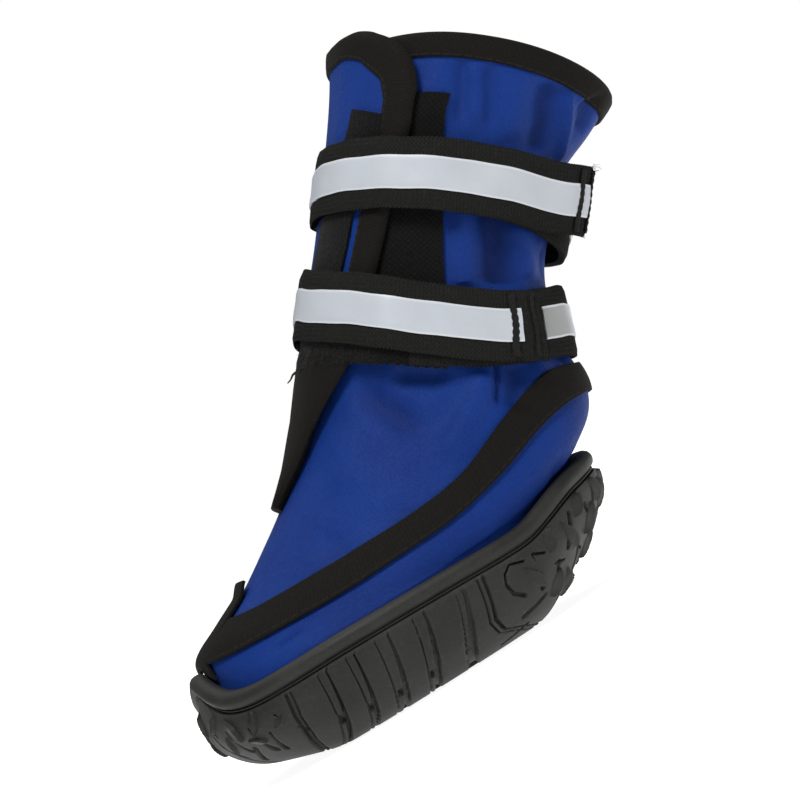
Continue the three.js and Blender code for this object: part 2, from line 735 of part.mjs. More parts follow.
// Tape on the flap's outer face, along its top and down its free edge to the throat
function flapBinding() {
  const face = flapThickness + clearance;
  const strip = (steps, across, place) => sheetBody(steps, across, (u, v, side) => {
    const [row, angle] = place(u, v);
    return onFlap(row, angle, face + side * bindingThickness);
  });
  const steps = flapSteps.length - 1;
  const down = strip(steps, 2, (u, v) => {
    const row = flapSteps[Math.round(u * steps)];
    return [row, mix(bindingEdge(row), flapEdge(row), v)];
  });
  const along = strip(10, 2, (u, v) => {
    const angle = mix(flapRoot(collarRow) + 8, bindingEdge(collarRow) + 1, u);
    return [collarRow - v * bindingWidth / directions(collarRow, angle).speed, angle];
  });
  return down.add(along);
}

function sideTape(side) {
  return sheetBody(22, 2, (u, v, outer) => {
    const angle = mix(sideTapeRows[0].angle, sideTapeRows.at(-1).angle, u);
    const height = mix(
      read(sideTapeRows, 'angle', angle, 'low'), read(sideTapeRows, 'angle', angle, 'high'), v);
    const row = rowAtHeight(side * angle, height * bootHeight);
    return onUpper(row, side * angle, clearance * 1.5 + outer * tapeThickness);
  });
}

function toeTape() {
  return sheetBody(4, 5, (u, v, outer) => {
    const row = mix(2.2, cupRows + 2.15, v);
    const half = upperFace(row, 90).y;
    const share = (u - 0.5) * toeTapeWidth / half;
    const angle = THREE.MathUtils.radToDeg(Math.asin(power(share, upperSquareness / 2)));
    return onUpper(row, angle, clearance + outer * tapeThickness);
  });
}

// Patches of hook and loop: on the cloth below the flap's edge, and on the flap itself
function loopPatch() {
  return sheetBody(6, 5, (u, v, outer) => (
    onUpper(mix(collarRow - 5.4, collarRow - 1.55, v), mix(34, mix(88, 84, v), u), clearance + outer * patchThickness)));
}

function flapPatch() {
  return sheetBody(4, 5, (u, v, outer) => {
    const row = mix(collarRow - 5.4, collarRow - 1.7, v);
    const angle = mix(mix(2, 16, v), bindingEdge(row) - 2, u);
    return onFlap(row, angle, flapThickness + clearance + outer * patchThickness);
  });
}

// A strap's middle line: its row on the upper and its space off the cloth
function strapLine({ start, end, middle, space, endSpace }, angle) {
  const turned = ((angle % 360) + 360) % 360;
  const overlap = THREE.MathUtils.smoothstep(angle, 360 + start - 26, 360 + start - 6);
  const away = endSpace * THREE.MathUtils.smoothstep(angle, end - 30, end);
  return {
    row: read(middle, 'angle', angle, 'row'),
    space: strapSlack * (read(space, 'angle', turned, 'space') + away)
      + overlap * (strapThickness + clearance),
  };
}

function onStrap(strap, angle, across, height) {
  const { row, space } = strapLine(strap, angle);
  const { up, out } = directions(row, angle);
  return upperFace(row, angle).addScaledVector(out, space + height).addScaledVector(up, across);
}

function strapBody(strap) {
  return sheetBody(44, 1, (u, v, outer) => onStrap(
    strap, mix(strap.start, strap.end, u), (v - 0.5) * strapWidth, outer * strapThickness));
}

function strapTape(strap) {
  const { start, end } = strap.tape;
  const base = strapThickness + clearance;
  return sheetBody(36, 1, (u, v, outer) => onStrap(
    strap, mix(start, end, u), (v - 0.5) * reflectiveWidth, base + outer * reflectiveThickness));
}

const rubber = new THREE.MeshStandardMaterial({ color: 0x1d1e1f, roughness: 0.72, metalness: 0 });
const cloth = new THREE.MeshStandardMaterial({ color: 0x1a37b4, roughness: 0.8, metalness: 0 });
const foam = new THREE.MeshStandardMaterial({ color: 0x2a2b2e, roughness: 0.9, metalness: 0 });
const trim = new THREE.MeshStandardMaterial({ color: 0x121214, roughness: 0.85, metalness: 0 });
const webbing = new THREE.MeshStandardMaterial({ color: 0x17171a, roughness: 0.8, metalness: 0 });
const reflective = new THREE.MeshStandardMaterial({ color: 0xb9c2cf, roughness: 0.45, metalness: 0.1 });

const boot = new THREE.Group();
boot.name = 'dog_boot';
const add = (name, body, material) => boot.add(toMesh(name, body, material));

add('sole', sole(), rubber);
add('insole', insole(), foam);
add('upper', upper(), cloth);
add('collar_binding', collarBinding(), trim);
add('flap_binding', flapBinding(), trim);
add('side_tape_left', sideTape(1), trim);
add('side_tape_right', sideTape(-1), trim);
add('toe_tape', toeTape(), trim);
add('loop_patch', loopPatch(), trim);
add('flap_patch', flapPatch(), trim);
for (const [name, strap] of Object.entries(straps)) {
  add(`strap_${name}`, strapBody(strap), webbing);
  add(`strap_${name}_tape`, strapTape(strap), reflective);
}

export default boot;
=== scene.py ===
# A dog's boot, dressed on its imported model. Metres, +X to the toe, +Y the boot's left side, +Z up.

import math

import bpy
import numpy as np
from mathutils import Matrix, Vector


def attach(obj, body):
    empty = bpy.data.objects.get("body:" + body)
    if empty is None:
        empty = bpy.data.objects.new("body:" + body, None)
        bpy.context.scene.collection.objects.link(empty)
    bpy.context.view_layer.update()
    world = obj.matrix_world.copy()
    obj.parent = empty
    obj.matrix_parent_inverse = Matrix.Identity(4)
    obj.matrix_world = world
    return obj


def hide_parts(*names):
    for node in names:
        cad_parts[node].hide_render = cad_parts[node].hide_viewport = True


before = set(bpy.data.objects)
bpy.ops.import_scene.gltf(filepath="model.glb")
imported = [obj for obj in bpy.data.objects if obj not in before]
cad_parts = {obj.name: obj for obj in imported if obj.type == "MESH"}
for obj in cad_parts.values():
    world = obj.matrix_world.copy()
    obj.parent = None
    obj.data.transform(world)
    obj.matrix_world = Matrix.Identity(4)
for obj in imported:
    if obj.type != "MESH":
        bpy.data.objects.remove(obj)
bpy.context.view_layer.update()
bpy.ops.object.select_all(action="DESELECT")
mm = 0.001


# The camera looks at the boot's left side, a little from the toe, and is rolled as in the photograph
view = {"target": (-0.024, 0, 0.0584), "distance": 1.0, "toToe": 12, "roll": 31, "width": 0.1794}


def addCamera():
    toToe, roll = math.radians(view["toToe"]), math.radians(view["roll"])
    back = Vector((math.sin(toToe), math.cos(toToe), 0))
    level = Vector((-math.cos(toToe), math.sin(toToe), 0))
    right = level * math.cos(roll) - Vector((0, 0, 1)) * math.sin(roll)
    up = level * math.sin(roll) + Vector((0, 0, 1)) * math.cos(roll)
    bpy.ops.object.camera_add()
    camera = bpy.context.object
    camera.name = "camera"
    turn = Matrix((right, up, back)).transposed().to_4x4()
    camera.matrix_world = Matrix.Translation(Vector(view["target"]) + back * view["distance"]) @ turn
    camera.data.sensor_width = 36
    camera.data.lens = 36 * view["distance"] / view["width"]
    camera.data.clip_start = 0.01
    bpy.context.scene.camera = camera
    return right, up, back


right, up, back = addCamera()


# Soft white room: a wide window above on the toe side, a weaker one behind the heel, a bright floor
room = {
    "sky": 0.2, "window": 20, "windowSize": 0.5, "rear": 6.5, "rearSize": 0.5, "top": 10, "topSize": 1.4,
    "floor": 6, "paint": 0.62, "glow": 0.92,
}


def addLight(name, place, power, size):
    bpy.ops.object.light_add(type="AREA", location=place)
    light = bpy.context.object
    light.name = name
    light.data.energy = power
    light.data.size = size
    light.rotation_euler = (Vector(view["target"]) - Vector(place)).to_track_quat("-Z", "Y").to_euler()


def addRoom():
    target = Vector(view["target"])
    addLight("window", target + back * 0.9 - right * 0.55 + up * 0.9, room["window"], room["windowSize"])
    addLight("rearWindow", target + back * 0.35 + right * 1.1 + up * 0.35, room["rear"], room["rearSize"])
    addLight("topWindow", (-0.1, -0.3, 1.3), room["top"], room["topSize"])
    world = bpy.data.worlds.new("room")
    world.use_nodes = True
    bpy.context.scene.world = world
    nodes, links = world.node_tree.nodes, world.node_tree.links
    nodes["Background"].inputs["Strength"].default_value = room["sky"]
    nodes["Background"].inputs["Color"].default_value = (1, 1, 1, 1)
    seen = nodes.new("ShaderNodeBackground")  # what the camera sees behind the boot
    path = nodes.new("ShaderNodeLightPath")
    either = nodes.new("ShaderNodeMixShader")
    links.new(path.outputs["Is Camera Ray"], either.inputs[0])
    links.new(nodes["Background"].outputs[0], either.inputs[1])
    links.new(seen.outputs[0], either.inputs[2])
    seen.inputs["Color"].default_value = (1, 1, 1, 1)
    links.new(either.outputs[0], nodes["World Output"].inputs["Surface"])

    bpy.ops.mesh.primitive_plane_add(size=room["floor"])
    floor = bpy.context.object
    floor.name = "floor"
    paint = bpy.data.materials.new("paleFloor")
    paint.use_nodes = True
    nodes, links = paint.node_tree.nodes, paint.node_tree.links
    shader = nodes["Principled BSDF"]
    shader.inputs["Base Color"].default_value = (room["paint"],) * 3 + (1,)
    shader.inputs["Roughness"].default_value = 0.9
    shader.inputs["Specular IOR Level"].default_value = 0
    shader.inputs["Emission Color"].default_value = (1, 1, 1, 1)
    shader.inputs["Emission Strength"].default_value = room["glow"]
    clear = nodes.new("ShaderNodeBsdfTransparent")  # a view from below looks through the floor
    side = nodes.new("ShaderNodeNewGeometry")
    either = nodes.new("ShaderNodeMixShader")
    links.new(side.outputs["Backfacing"], either.inputs[0])
    links.new(shader.outputs[0], either.inputs[1])
    links.new(clear.outputs[0], either.inputs[2])
    links.new(either.outputs[0], nodes["Material Output"].inputs["Surface"])
    floor.data.materials.append(paint)
    bpy.context.scene.view_settings.view_transform = "Standard"


addRoom()
print("camera and room set")


# Tables are read smoothly between their rows; the first number of a row is the place
def readTable(rows, at, column=1):
    table = np.array(rows, float)
    keys, values = table[:, 0], table[:, column]
    after = np.clip(np.searchsorted(keys, at, side="right"), 1, len(keys) - 1)
    before = after - 1
    span = keys[after] - keys[before]
    share = np.clip((at - keys[before]) / span, 0, 1)

    def slope(low, high):
        gap = keys[high] - keys[low]
        return (values[high] - values[low]) / np.where(gap == 0, 1, gap) * span

    start = slope(np.maximum(before - 1, 0), after)
    end = slope(before, np.minimum(after + 1, len(keys) - 1))
    s2, s3 = share ** 2, share ** 3
    return (values[before] * (2 * s3 - 3 * s2 + 1) + start * (s3 - 2 * s2 + share)
            + values[after] * (3 * s2 - 2 * s3) + end * (s3 - s2))


def signedPower(value, exponent):
    return np.sign(value) * np.abs(value) ** exponent


def mixed(a, b, share):
    return a + (b - a) * share


def easeIn(low, high, value):
    share = np.clip((value - low) / (high - low), 0, 1)
    return share * share * (3 - 2 * share)


def unit(vectors):
    return vectors / np.maximum(np.linalg.norm(vectors, axis=-1, keepdims=True), 1e-12)


def halfTurn(angle):
    return np.abs((angle + 180) % 360 - 180)


# Millimetres from here on; a mesh is turned to metres when it is shaped
soleSize = {
    "length": 108, "width": 84, "toeRim": 29.5, "sideRim": 22.2, "heelRim": 28, "rimBand": 4.8,
    "rimWidth": 4.2, "rimProud": 1, "floor": 4.6, "cupRadius": 10, "insole": 2.4, "clearance": 0.3,
    "squareness": 2.25, "toeFullness": 0.05, "flatFront": 0.25, "flatBack": -0.19,
    "toeSpring": 0.3, "heelSpring": 0.38, "springEase": 0.06, "toeLean": 4,
}
rimRows = [  # angle from the toe, share of the toe's height, share of the heel's
    (0, 1, 0), (12, 0.52, 0), (22, 0.19, 0), (34, 0.02, 0), (50, 0.01, 0), (66, 0.05, 0), (82, 0.04, 0),
    (96, 0, 0), (108, 0, -0.05), (116, 0, 0), (124, 0, 0.26), (131, 0, 0.5), (139, 0, 0.7), (150, 0, 0.83),
    (162, 0, 0.93), (180, 0, 1),
]
cornerRows = [(0, 0.75, 2.7), (90, 0.42, 2.1), (180, 0.52, 2)]
cupCorner = [(0.03, 0.76), (0.2, 0.42), (0.44, 0.19), (0.76, 0.06), (1.1, 0)]


def soleOutline(angle, inset):
    c, s = np.cos(np.radians(angle)), np.sin(np.radians(angle))
    size = soleSize
    return np.stack([
        (size["length"] / 2 - inset) * signedPower(c, 2 / size["squareness"]),
        (size["width"] / 2 - inset) * signedPower(s, 2 / size["squareness"]) * (1 + size["toeFullness"] * c),
        np.zeros_like(c),
    ], -1)


def floorLine(x):
    size = soleSize
    ease = size["springEase"] * size["length"]

    def ramp(past, slope):
        past = np.maximum(past, 0)
        return np.where(past > ease, slope * (past - ease / 2), slope * past ** 2 / (2 * ease))

    return (ramp(x - size["flatFront"] * size["length"], size["toeSpring"])
            + ramp(size["flatBack"] * size["length"] - x, size["heelSpring"]))


def rimTop(angle):
    place, size = halfTurn(angle), soleSize
    return (size["sideRim"] + (size["toeRim"] - size["sideRim"]) * readTable(rimRows, place, 1)
            + (size["heelRim"] - size["sideRim"]) * readTable(rimRows, place, 2))


def rimFoot(angle):
    return rimTop(angle) - soleSize["rimBand"]


def leaned(point, angle):  # the toe stands back a little toward its rim
    front = np.maximum(np.cos(np.radians(angle)), 0) ** 3
    point[..., 0] -= soleSize["toeLean"] * front * easeIn(soleSize["toeRim"] * 0.36, soleSize["toeRim"], point[..., 2])
    return point


def cupPoint(angle, inset, above):
    point = soleOutline(angle, inset)
    point[..., 2] = floorLine(point[..., 0]) + soleSize["floor"] + above
    return leaned(point, angle)


# The upper: rows 0 to 2 stand in the cup, then each row is a slanting section up to the collar
bootHeight = 131.5
upperRows = np.array([  # frontX, frontZ, backX, backZ, width, lift
    (0.412, 0.24, -0.492, 0.233, 0.439, -0.058), (0.343, 0.27, -0.54, 0.261, 0.436, -0.052),
    (0.268, 0.301, -0.565, 0.292, 0.417, -0.041), (0.185, 0.345, -0.573, 0.327, 0.39, -0.027),
    (0.107, 0.39, -0.572, 0.357, 0.364, -0.012), (0.033, 0.442, -0.568, 0.381, 0.347, 0),
    (-0.046, 0.515, -0.57, 0.41, 0.335, 0.007), (-0.114, 0.587, -0.588, 0.448, 0.327, 0.009),
    (-0.185, 0.662, -0.611, 0.491, 0.323, 0.015), (-0.254, 0.73, -0.643, 0.53, 0.323, 0.024),
    (-0.323, 0.802, -0.698, 0.578, 0.326, 0.038), (-0.388, 0.871, -0.763, 0.633, 0.331, 0.05),
    (-0.445, 0.936, -0.856, 0.667, 0.34, 0.045), (-0.489, 0.993, -0.933, 0.698, 0.352, 0.04),
])
cupRows = 3
collarRow = cupRows + len(upperRows) - 1
throatRow = cupRows + 4
upperSquareness = 2.15
clothThickness = 1.8
flapThickness = 1.6
clearance = 0.3


def upperControl(row, angle):
    size = soleSize
    inset = size["rimWidth"] + clearance * 2.5
    radius = size["cupRadius"]
    c, s = np.cos(np.radians(angle)), np.sin(np.radians(angle))
    section = upperRows[np.clip(row - cupRows, 0, len(upperRows) - 1)]
    place = (1 + signedPower(c, 2 / upperSquareness)) / 2
    point = np.stack([
        mixed(section[..., 2], section[..., 0], place) * size["length"],
        section[..., 4] * size["width"] * signedPower(s, 2 / upperSquareness),
        (mixed(section[..., 3], section[..., 1], place) + section[..., 5] * s * s) * bootHeight,
    ], -1)
    if np.any(row < cupRows):
        edge = soleOutline(angle, inset)
        edge[..., 2] = rimTop(angle) - clearance * 2
        point = np.where((row == 2)[..., None], leaned(edge, angle), point)
        point = np.where((row == 1)[..., None], cupPoint(angle, inset + radius * 0.05, radius * cupCorner[0][1]), point)
        point = np.where((row == 0)[..., None], cupPoint(angle, inset + radius * 0.25, radius * cupCorner[1][1]), point)
    return point


def upperFace(row, angle):
    row, angle = np.broadcast_arrays(np.asarray(row, float), np.asarray(angle, float))
    base = np.clip(np.floor(row), 0, collarRow - 1).astype(int)
    share = (row - base)[..., None]
    a, b = upperControl(base, angle), upperControl(base + 1, angle)
    before = np.where((base > 0)[..., None], upperControl(np.maximum(base - 1, 0), angle), 2 * a - b)
    after = np.where((base < collarRow - 1)[..., None], upperControl(np.minimum(base + 2, collarRow), angle), 2 * b - a)
    s2, s3 = share ** 2, share ** 3
    return ((-s3 + 2 * s2 - share) * before + (3 * s3 - 5 * s2 + 2) * a
            + (-3 * s3 + 4 * s2 + share) * b + (s3 - s2) * after) / 2


def upperDirections(row, angle):
    upward = upperFace(row + 0.02, angle) - upperFace(row - 0.02, angle)
    around = upperFace(row, angle + 0.5) - upperFace(row, angle - 0.5)
    speed = np.linalg.norm(upward, axis=-1) / 0.04
    return unit(upward), unit(around), unit(np.cross(around, upward)), speed


# Main folds. A trough is lower than the cloth round it, a ridge higher.
folds = [  # height, half width, share of the length over which the ends fade, and the line as (row, angle)
    # above the upper strap, near side: the notch by the back and what bulges on each side of it
    (1.7, 1.5, 0.2, [(15.4, 133), (15.1, 134.4), (14.6, 143.7), (14.25, 149.5), (13.8, 155)]),
    (-2.2, 3.2, 0.15, [(15.4, 121), (14.83, 124.1), (14.37, 131), (13.8, 134.8)]),
    (-2.2, 3.0, 0.25, [(15.5, 144), (15.2, 151), (14.7, 159)]),
    (1.4, 4.2, 0.2, [(15.5, 105), (14.6, 111), (13.7, 119)]),
    (-1.2, 1.9, 0.2, [(15.4, 91), (14.83, 97), (14.41, 102), (13.7, 107)]),
    (0.8, 1.8, 0.2, [(15.4, 89), (14.83, 91.5), (14.41, 95.5), (13.8, 99)]),
    (-1.2, 1.7, 0.2, [(15.5, 82), (14.87, 85.3), (14.41, 89), (13.7, 92)]),
    (0.7, 3.2, 0.3, [(15.4, 74), (14.4, 76), (13.7, 79)]),
    # between the straps, near side: a ridge beside the patch, then a step down into a hollow
    (1.5, 2.6, 0.06, [(12.6, 93), (11.48, 96), (10.5, 96.5)]),
    (-2.9, 3.9, 0.06, [(12.6, 108), (12.1, 111), (11.55, 114), (10.5, 114)]),
    (-1.5, 4.2, 0.08, [(12.6, 119), (11.5, 123), (10.5, 125)]),
    (1.4, 3.8, 0.2, [(12.4, 127), (11.58, 133), (10.6, 137)]),
    (-1.1, 3.0, 0.3, [(12.2, 158), (11.5, 158), (10.8, 155)]),
    # below the lower strap, near side: the hollow under the pad, which turns down over the instep, and its far edge
    (-1.9, 3.8, 0.4, [(9.2, 36), (8.97, 47.2), (8.5, 58), (8.1, 67), (7.34, 78), (6.5, 82)]),
    (-1.5, 2.6, 0.3, [(9.0, 60), (8.7, 78), (8.4, 92)]),
    (0.9, 4.6, 0.35, [(8.6, 34), (7.6, 44), (6.4, 50)]),
    (1.9, 2.8, 0.2, [(8.3, 103), (7.6, 100), (6.92, 93.2), (6.2, 84)]),
    (-1.5, 0.9, 0.2, [(8.5, 110), (8.08, 108.7), (7.5, 107.4), (6.8, 105.6)]),
    (-1.9, 3.2, 0.25, [(8.4, 118), (7.31, 115.5), (6.35, 110.4)]),
    (1.2, 3.4, 0.3, [(8.8, 134), (7.6, 131), (6.6, 124)]),
    (-1.0, 3.4, 0.3, [(8.6, 150), (7.6, 151), (6.8, 150)]),
    (0.8, 6.5, 0.4, [(7.4, 58), (6.4, 64), (5.3, 68)]),
    (-0.6, 3.6, 0.4, [(6.1, 38), (5.5, 48), (5.0, 60)]),
    # the band beside the sole
    (-0.7, 0.55, 0.35, [(2.6, 41), (2.85, 47), (3.1, 53)]),
    (-0.39, 0.5, 0.4, [(2.45, 57), (2.6, 63), (2.7, 68)]),
    (-0.62, 2.2, 0.4, [(3.1, 128), (3.6, 138)]),
    # plain side: above the upper strap
    (0.93, 3.4, 0.3, [(15.3, -60), (14.3, -63), (13.6, -66)]),
    (-1.08, 2.8, 0.3, [(15.3, -84), (14.2, -84), (13.5, -86)]),
    (-2.02, 2.6, 0.3, [(15.0, -112), (14.3, -108), (13.5, -104)]),
    (1.55, 3.6, 0.3, [(15.1, -126), (14.3, -122), (13.5, -118)]),
    (-2.48, 2.4, 0.3, [(15.2, -148), (14.5, -146), (13.8, -140)]),
    # plain side: between the straps
    (-1.4, 2.0, 0.12, [(12.3, -52), (11.4, -54), (10.6, -58)]),
    (0.85, 2.4, 0.2, [(12.3, -66), (11.4, -68), (10.6, -70)]),
    (-1.86, 2.0, 0.12, [(12.3, -82), (11.6, -84), (10.6, -80)]),
    (0.85, 2.6, 0.2, [(12.2, -98), (11.5, -98), (10.7, -94)]),
    (-1.86, 2.4, 0.12, [(12.3, -112), (11.5, -116), (10.6, -112)]),
    (1.24, 4.0, 0.3, [(12.2, -140), (11.4, -143), (10.7, -142)]),
    # plain side: below the lower strap, down over the instep
    (-1.55, 2.2, 0.3, [(9.3, -34), (8.2, -40), (6.8, -44), (5.6, -44)]),
    (1.08, 2.8, 0.3, [(9.3, -48), (8.0, -54), (6.6, -58), (5.2, -58)]),
    (-2.02, 2.2, 0.3, [(9.4, -62), (8.2, -70), (7.0, -74), (5.8, -72)]),
    (0.85, 2.6, 0.3, [(9.3, -80), (8.0, -86), (6.8, -86)]),
    (-1.55, 2.4, 0.3, [(9.3, -100), (8.2, -104), (7.0, -104)]),
    (1.08, 3.6, 0.3, [(8.8, -128), (7.8, -128), (6.8, -122)]),
    (-0.93, 3.2, 0.3, [(8.4, -150), (7.5, -152), (6.7, -150)]),
]
seams = [  # the upper is closed down the heel
    (-0.55, 0.5, 0.01, [(16, 180), (12, 180), (8, 180), (5, 180), (2.2, 180)]),
]


def lineHeight(points, lines):
    height = np.zeros(len(points))
    for tall, wide, fade, line in lines:
        knots = np.array(line, float)
        count = 4 * (len(knots) - 1) + 1
        places = np.linspace(0, len(knots) - 1, count)
        rows = np.interp(places, range(len(knots)), knots[:, 0])
        angles = np.interp(places, range(len(knots)), knots[:, 1])
        path = upperFace(rows, angles)
        reach = 3 * wide
        low, high = path.min(0) - reach, path.max(0) + reach
        near = np.nonzero(((points > low) & (points < high)).all(1))[0]
        if not len(near):
            continue
        spots = points[near]
        best = np.full(len(near), 1e9)
        along = np.zeros(len(near))
        for k in range(count - 1):
            step = path[k + 1] - path[k]
            share = np.clip((spots - path[k]) @ step / (step @ step), 0, 1)
            away = np.linalg.norm(spots - path[k] - share[:, None] * step, axis=1)
            closer = away < best
            best = np.where(closer, away, best)
            along = np.where(closer, (k + share) / (count - 1), along)
        ends = easeIn(0, fade, np.minimum(along, 1 - along))
        height[near] += tall * np.exp(-(best / wide) ** 2) * ends
    return height


# A point on the upper's outer face, folds and all, raised by so many millimetres
def onCloth(row, angle, offset):
    row, angle = np.broadcast_arrays(np.asarray(row, float), np.asarray(angle, float))
    point = upperFace(row, angle)
    out = upperDirections(row, angle)[2]
    bare = np.abs(offset) < 0.05  # the seam shows on the cloth and not on what lies over it
    height = lineHeight(point, folds) + lineHeight(point, seams) * bare
    return point + out * (offset + height)[..., None]


slitAngle = -4
flapRows = [  # row, root, inner edge of the binding, free edge
    (throatRow - 0.1, -9, -5, 3), (throatRow + 0.4, -12, -6, 9), (throatRow + 1.2, -19, -6, 19),
    (throatRow + 2, -25, 2, 33), (throatRow + 2.8, -26, 28, 46), (throatRow + 4, -26, 41, 54),
    (throatRow + 5.5, -26, 47, 60), (throatRow + 6.6, -26, 54, 67), (throatRow + 7.4, -26, 54, 67),
    (throatRow + 8, -26, 50, 63), (throatRow + 8.55, -26, 41, 54), (collarRow - 0.15, -26, 32, 45),
    (collarRow, -26, 26, 38),
]
flapLift = [(0, -1.5), (14, 0.5), (34, 1), (48, 1.6), (120, 1.6)]  # degrees past the root, and the height there
flapRise = 0.26  # how far the flap's round corner stands above the collar, in rows
belowCorner = list(np.linspace(throatRow - 0.1, collarRow - 0.8, 13))
flapSteps = belowCorner + [collarRow - k for k in (0.55, 0.35, 0.2, 0.1, 0)]


def flapCrown(row, angle):
    over = easeIn(-27, -8, angle) * (1 - 0.6 * easeIn(26, 44, angle))
    return flapRise * easeIn(collarRow - 1, collarRow, row) * over


def flapFace(row, angle, height):
    past = angle - readTable(flapRows, row, 1)
    return onCloth(row + flapCrown(row, angle), angle, readTable(flapLift, past) + height)


def pick(*pieces):  # the first is the active one
    bpy.ops.object.select_all(action="DESELECT")
    for piece in pieces:
        piece.select_set(True)
    bpy.context.view_layer.objects.active = pieces[0]


def readAll(items, name, width=1, kind=float):
    values = np.empty(len(items) * width, kind)
    items.foreach_get(name, values)
    return values.reshape(-1, width) if width > 1 else values


def travelled(points):  # the way along a row of points, up to each of them
    return np.concatenate([[0], np.cumsum(np.linalg.norm(np.diff(points, axis=0), axis=1))])


# A new grid is laid over the surface that place(u, v) gives, with its own map in millimetres
def shapedGrid(name, along, across, place, hollow=None):
    bpy.ops.object.select_all(action="DESELECT")
    bpy.ops.mesh.primitive_grid_add(x_subdivisions=along, y_subdivisions=across, size=1, calc_uvs=True)
    piece = bpy.context.object
    piece.name = piece.data.name = name
    mesh = piece.data
    u, v = (readAll(mesh.vertices, "co", 3)[:, :2] + 0.5).T
    points = place(u, v)
    evenU, evenV = np.linspace(0, 1, along + 1), np.linspace(0, 1, across + 1)
    lengthU = travelled(place(evenU, np.full(along + 1, 0.5)))
    lengthV = travelled(place(np.full(across + 1, 0.5), evenV))
    corner = readAll(mesh.loops, "vertex_index", kind=int)
    mapped = np.stack([np.interp(u, evenU, lengthU), np.interp(v, evenV, lengthV)], -1)[corner]
    mesh.uv_layers.active.data.foreach_set("uv", mapped.ravel())
    mesh.vertices.foreach_set("co", (points * mm).ravel())
    # the folds' heights, which the cloth's material turns into painted shade in their troughs
    if hollow:
        mesh.attributes.new("hollow", "FLOAT", "POINT").data.foreach_set("value", hollow(u, v))
    mesh.update()
    return piece


def inEditMode(*steps):
    bpy.ops.object.mode_set(mode="EDIT")
    bpy.ops.mesh.select_all(action="SELECT")
    for step in steps:
        step()
    bpy.ops.object.mode_set(mode="OBJECT")


def applyModifier(piece, kind, **settings):
    modifier = piece.modifiers.new(kind.lower(), kind)
    for key, value in settings.items():
        setattr(modifier, key, value)
    pick(piece)
    bpy.ops.object.modifier_apply(modifier=modifier.name)


def finishPiece(piece, materials, replaces=(), angle=40):
    for material in materials:
        piece.data.materials.append(material)
    pick(piece)
    bpy.ops.object.shade_smooth_by_angle(angle=math.radians(angle))
    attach(piece, "root")
    if replaces:
        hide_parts(*replaces)


def thicken(piece, thickness, material=0):
    applyModifier(piece, "SOLIDIFY", thickness=thickness * mm, offset=-1, use_even_offset=False,
                  material_offset=material)


def softenEdges(piece, width):
    applyModifier(piece, "BEVEL", width=width * mm, segments=2, limit_method="ANGLE",
                  angle_limit=math.radians(50), use_clamp_overlap=True)


def closeHoles():
    bpy.ops.mesh.select_all(action="DESELECT")
    bpy.ops.mesh.select_mode(type="EDGE")
    bpy.ops.mesh.select_non_manifold(extend=False, use_wire=False, use_multi_face=False,
                                     use_non_contiguous=False, use_verts=False)
    bpy.ops.mesh.fill()
    bpy.ops.mesh.select_all(action="SELECT")


def closeUp(gap):  # one closed skin that faces outward
    inEditMode(lambda: bpy.ops.mesh.remove_doubles(threshold=gap), closeHoles,
               lambda: bpy.ops.mesh.normals_make_consistent(inside=False))


# Finishes. Effects that several materials share are node groups with named sockets.
def setSocket(tree, socket, value):
    if isinstance(value, bpy.types.NodeSocket):
        tree.links.new(value, socket)
    else:
        socket.default_value = value


# A key such as n2 is a socket's number, and any other key is its name
def addNode(tree, kind, settings=None, **inputs):
    node = tree.nodes.new(kind)
    for key, value in (settings or {}).items():
        setattr(node, key, value)
    for key, value in inputs.items():
        setSocket(tree, node.inputs[int(key[1:]) if key[0] == "n" else key], value)
    return node


def calculate(tree, operation, first, second=0.0, third=0.0):
    return addNode(tree, "ShaderNodeMath", {"operation": operation}, n0=first, n1=second, n2=third).outputs[0]


def smoothShare(tree, value, low, high, top=1.0):  # 0 at low, rising softly to top at high
    return addNode(tree, "ShaderNodeMapRange", {"interpolation_type": "SMOOTHSTEP"},
                   n0=value, n1=low, n2=high, n4=top).outputs[0]


def newGroup(name, inputs, outputs):
    tree = bpy.data.node_groups.new(name, "ShaderNodeTree")
    for socket, kind, value in inputs:
        made = tree.interface.new_socket(name=socket, in_out="INPUT", socket_type=kind)
        if value is not None:
            made.default_value = value
    for socket, kind in outputs:
        tree.interface.new_socket(name=socket, in_out="OUTPUT", socket_type=kind)
    return tree, tree.nodes.new("NodeGroupInput").outputs, tree.nodes.new("NodeGroupOutput").inputs


def makeWeaveGroup():  # crossing threads on a map in millimetres
    tree, given, result = newGroup("weave", [
        ("Map", "NodeSocketVector", None), ("Across", "NodeSocketFloat", 2.0), ("Along", "NodeSocketFloat", 2.0),
    ], [("Height", "NodeSocketFloat")])
    parts = addNode(tree, "ShaderNodeSeparateXYZ", n0=given["Map"]).outputs
    waves = []
    for part, count in ((parts[0], given["Across"]), (parts[1], given["Along"])):
        turned = calculate(tree, "MULTIPLY", calculate(tree, "MULTIPLY", part, count), math.pi)
        waves.append(calculate(tree, "SINE", turned))
    both = calculate(tree, "MULTIPLY", waves[0], waves[1])
    tree.links.new(calculate(tree, "MULTIPLY_ADD", both, 0.5, 0.5), result["Height"])
    return tree


def makeMottleGroup():  # soft blotches between two values
    tree, given, result = newGroup("mottle", [
        ("Place", "NodeSocketVector", None), ("Size", "NodeSocketFloat", 100.0), ("Low", "NodeSocketFloat", 0.4),
        ("High", "NodeSocketFloat", 0.6), ("Detail", "NodeSocketFloat", 3.0),
    ], [("Mask", "NodeSocketFloat")])
    noise = addNode(tree, "ShaderNodeTexNoise", Vector=given["Place"], Scale=given["Size"], Detail=given["Detail"])
    tree.links.new(smoothShare(tree, noise.outputs[0], given["Low"], given["High"]), result["Mask"])
    return tree


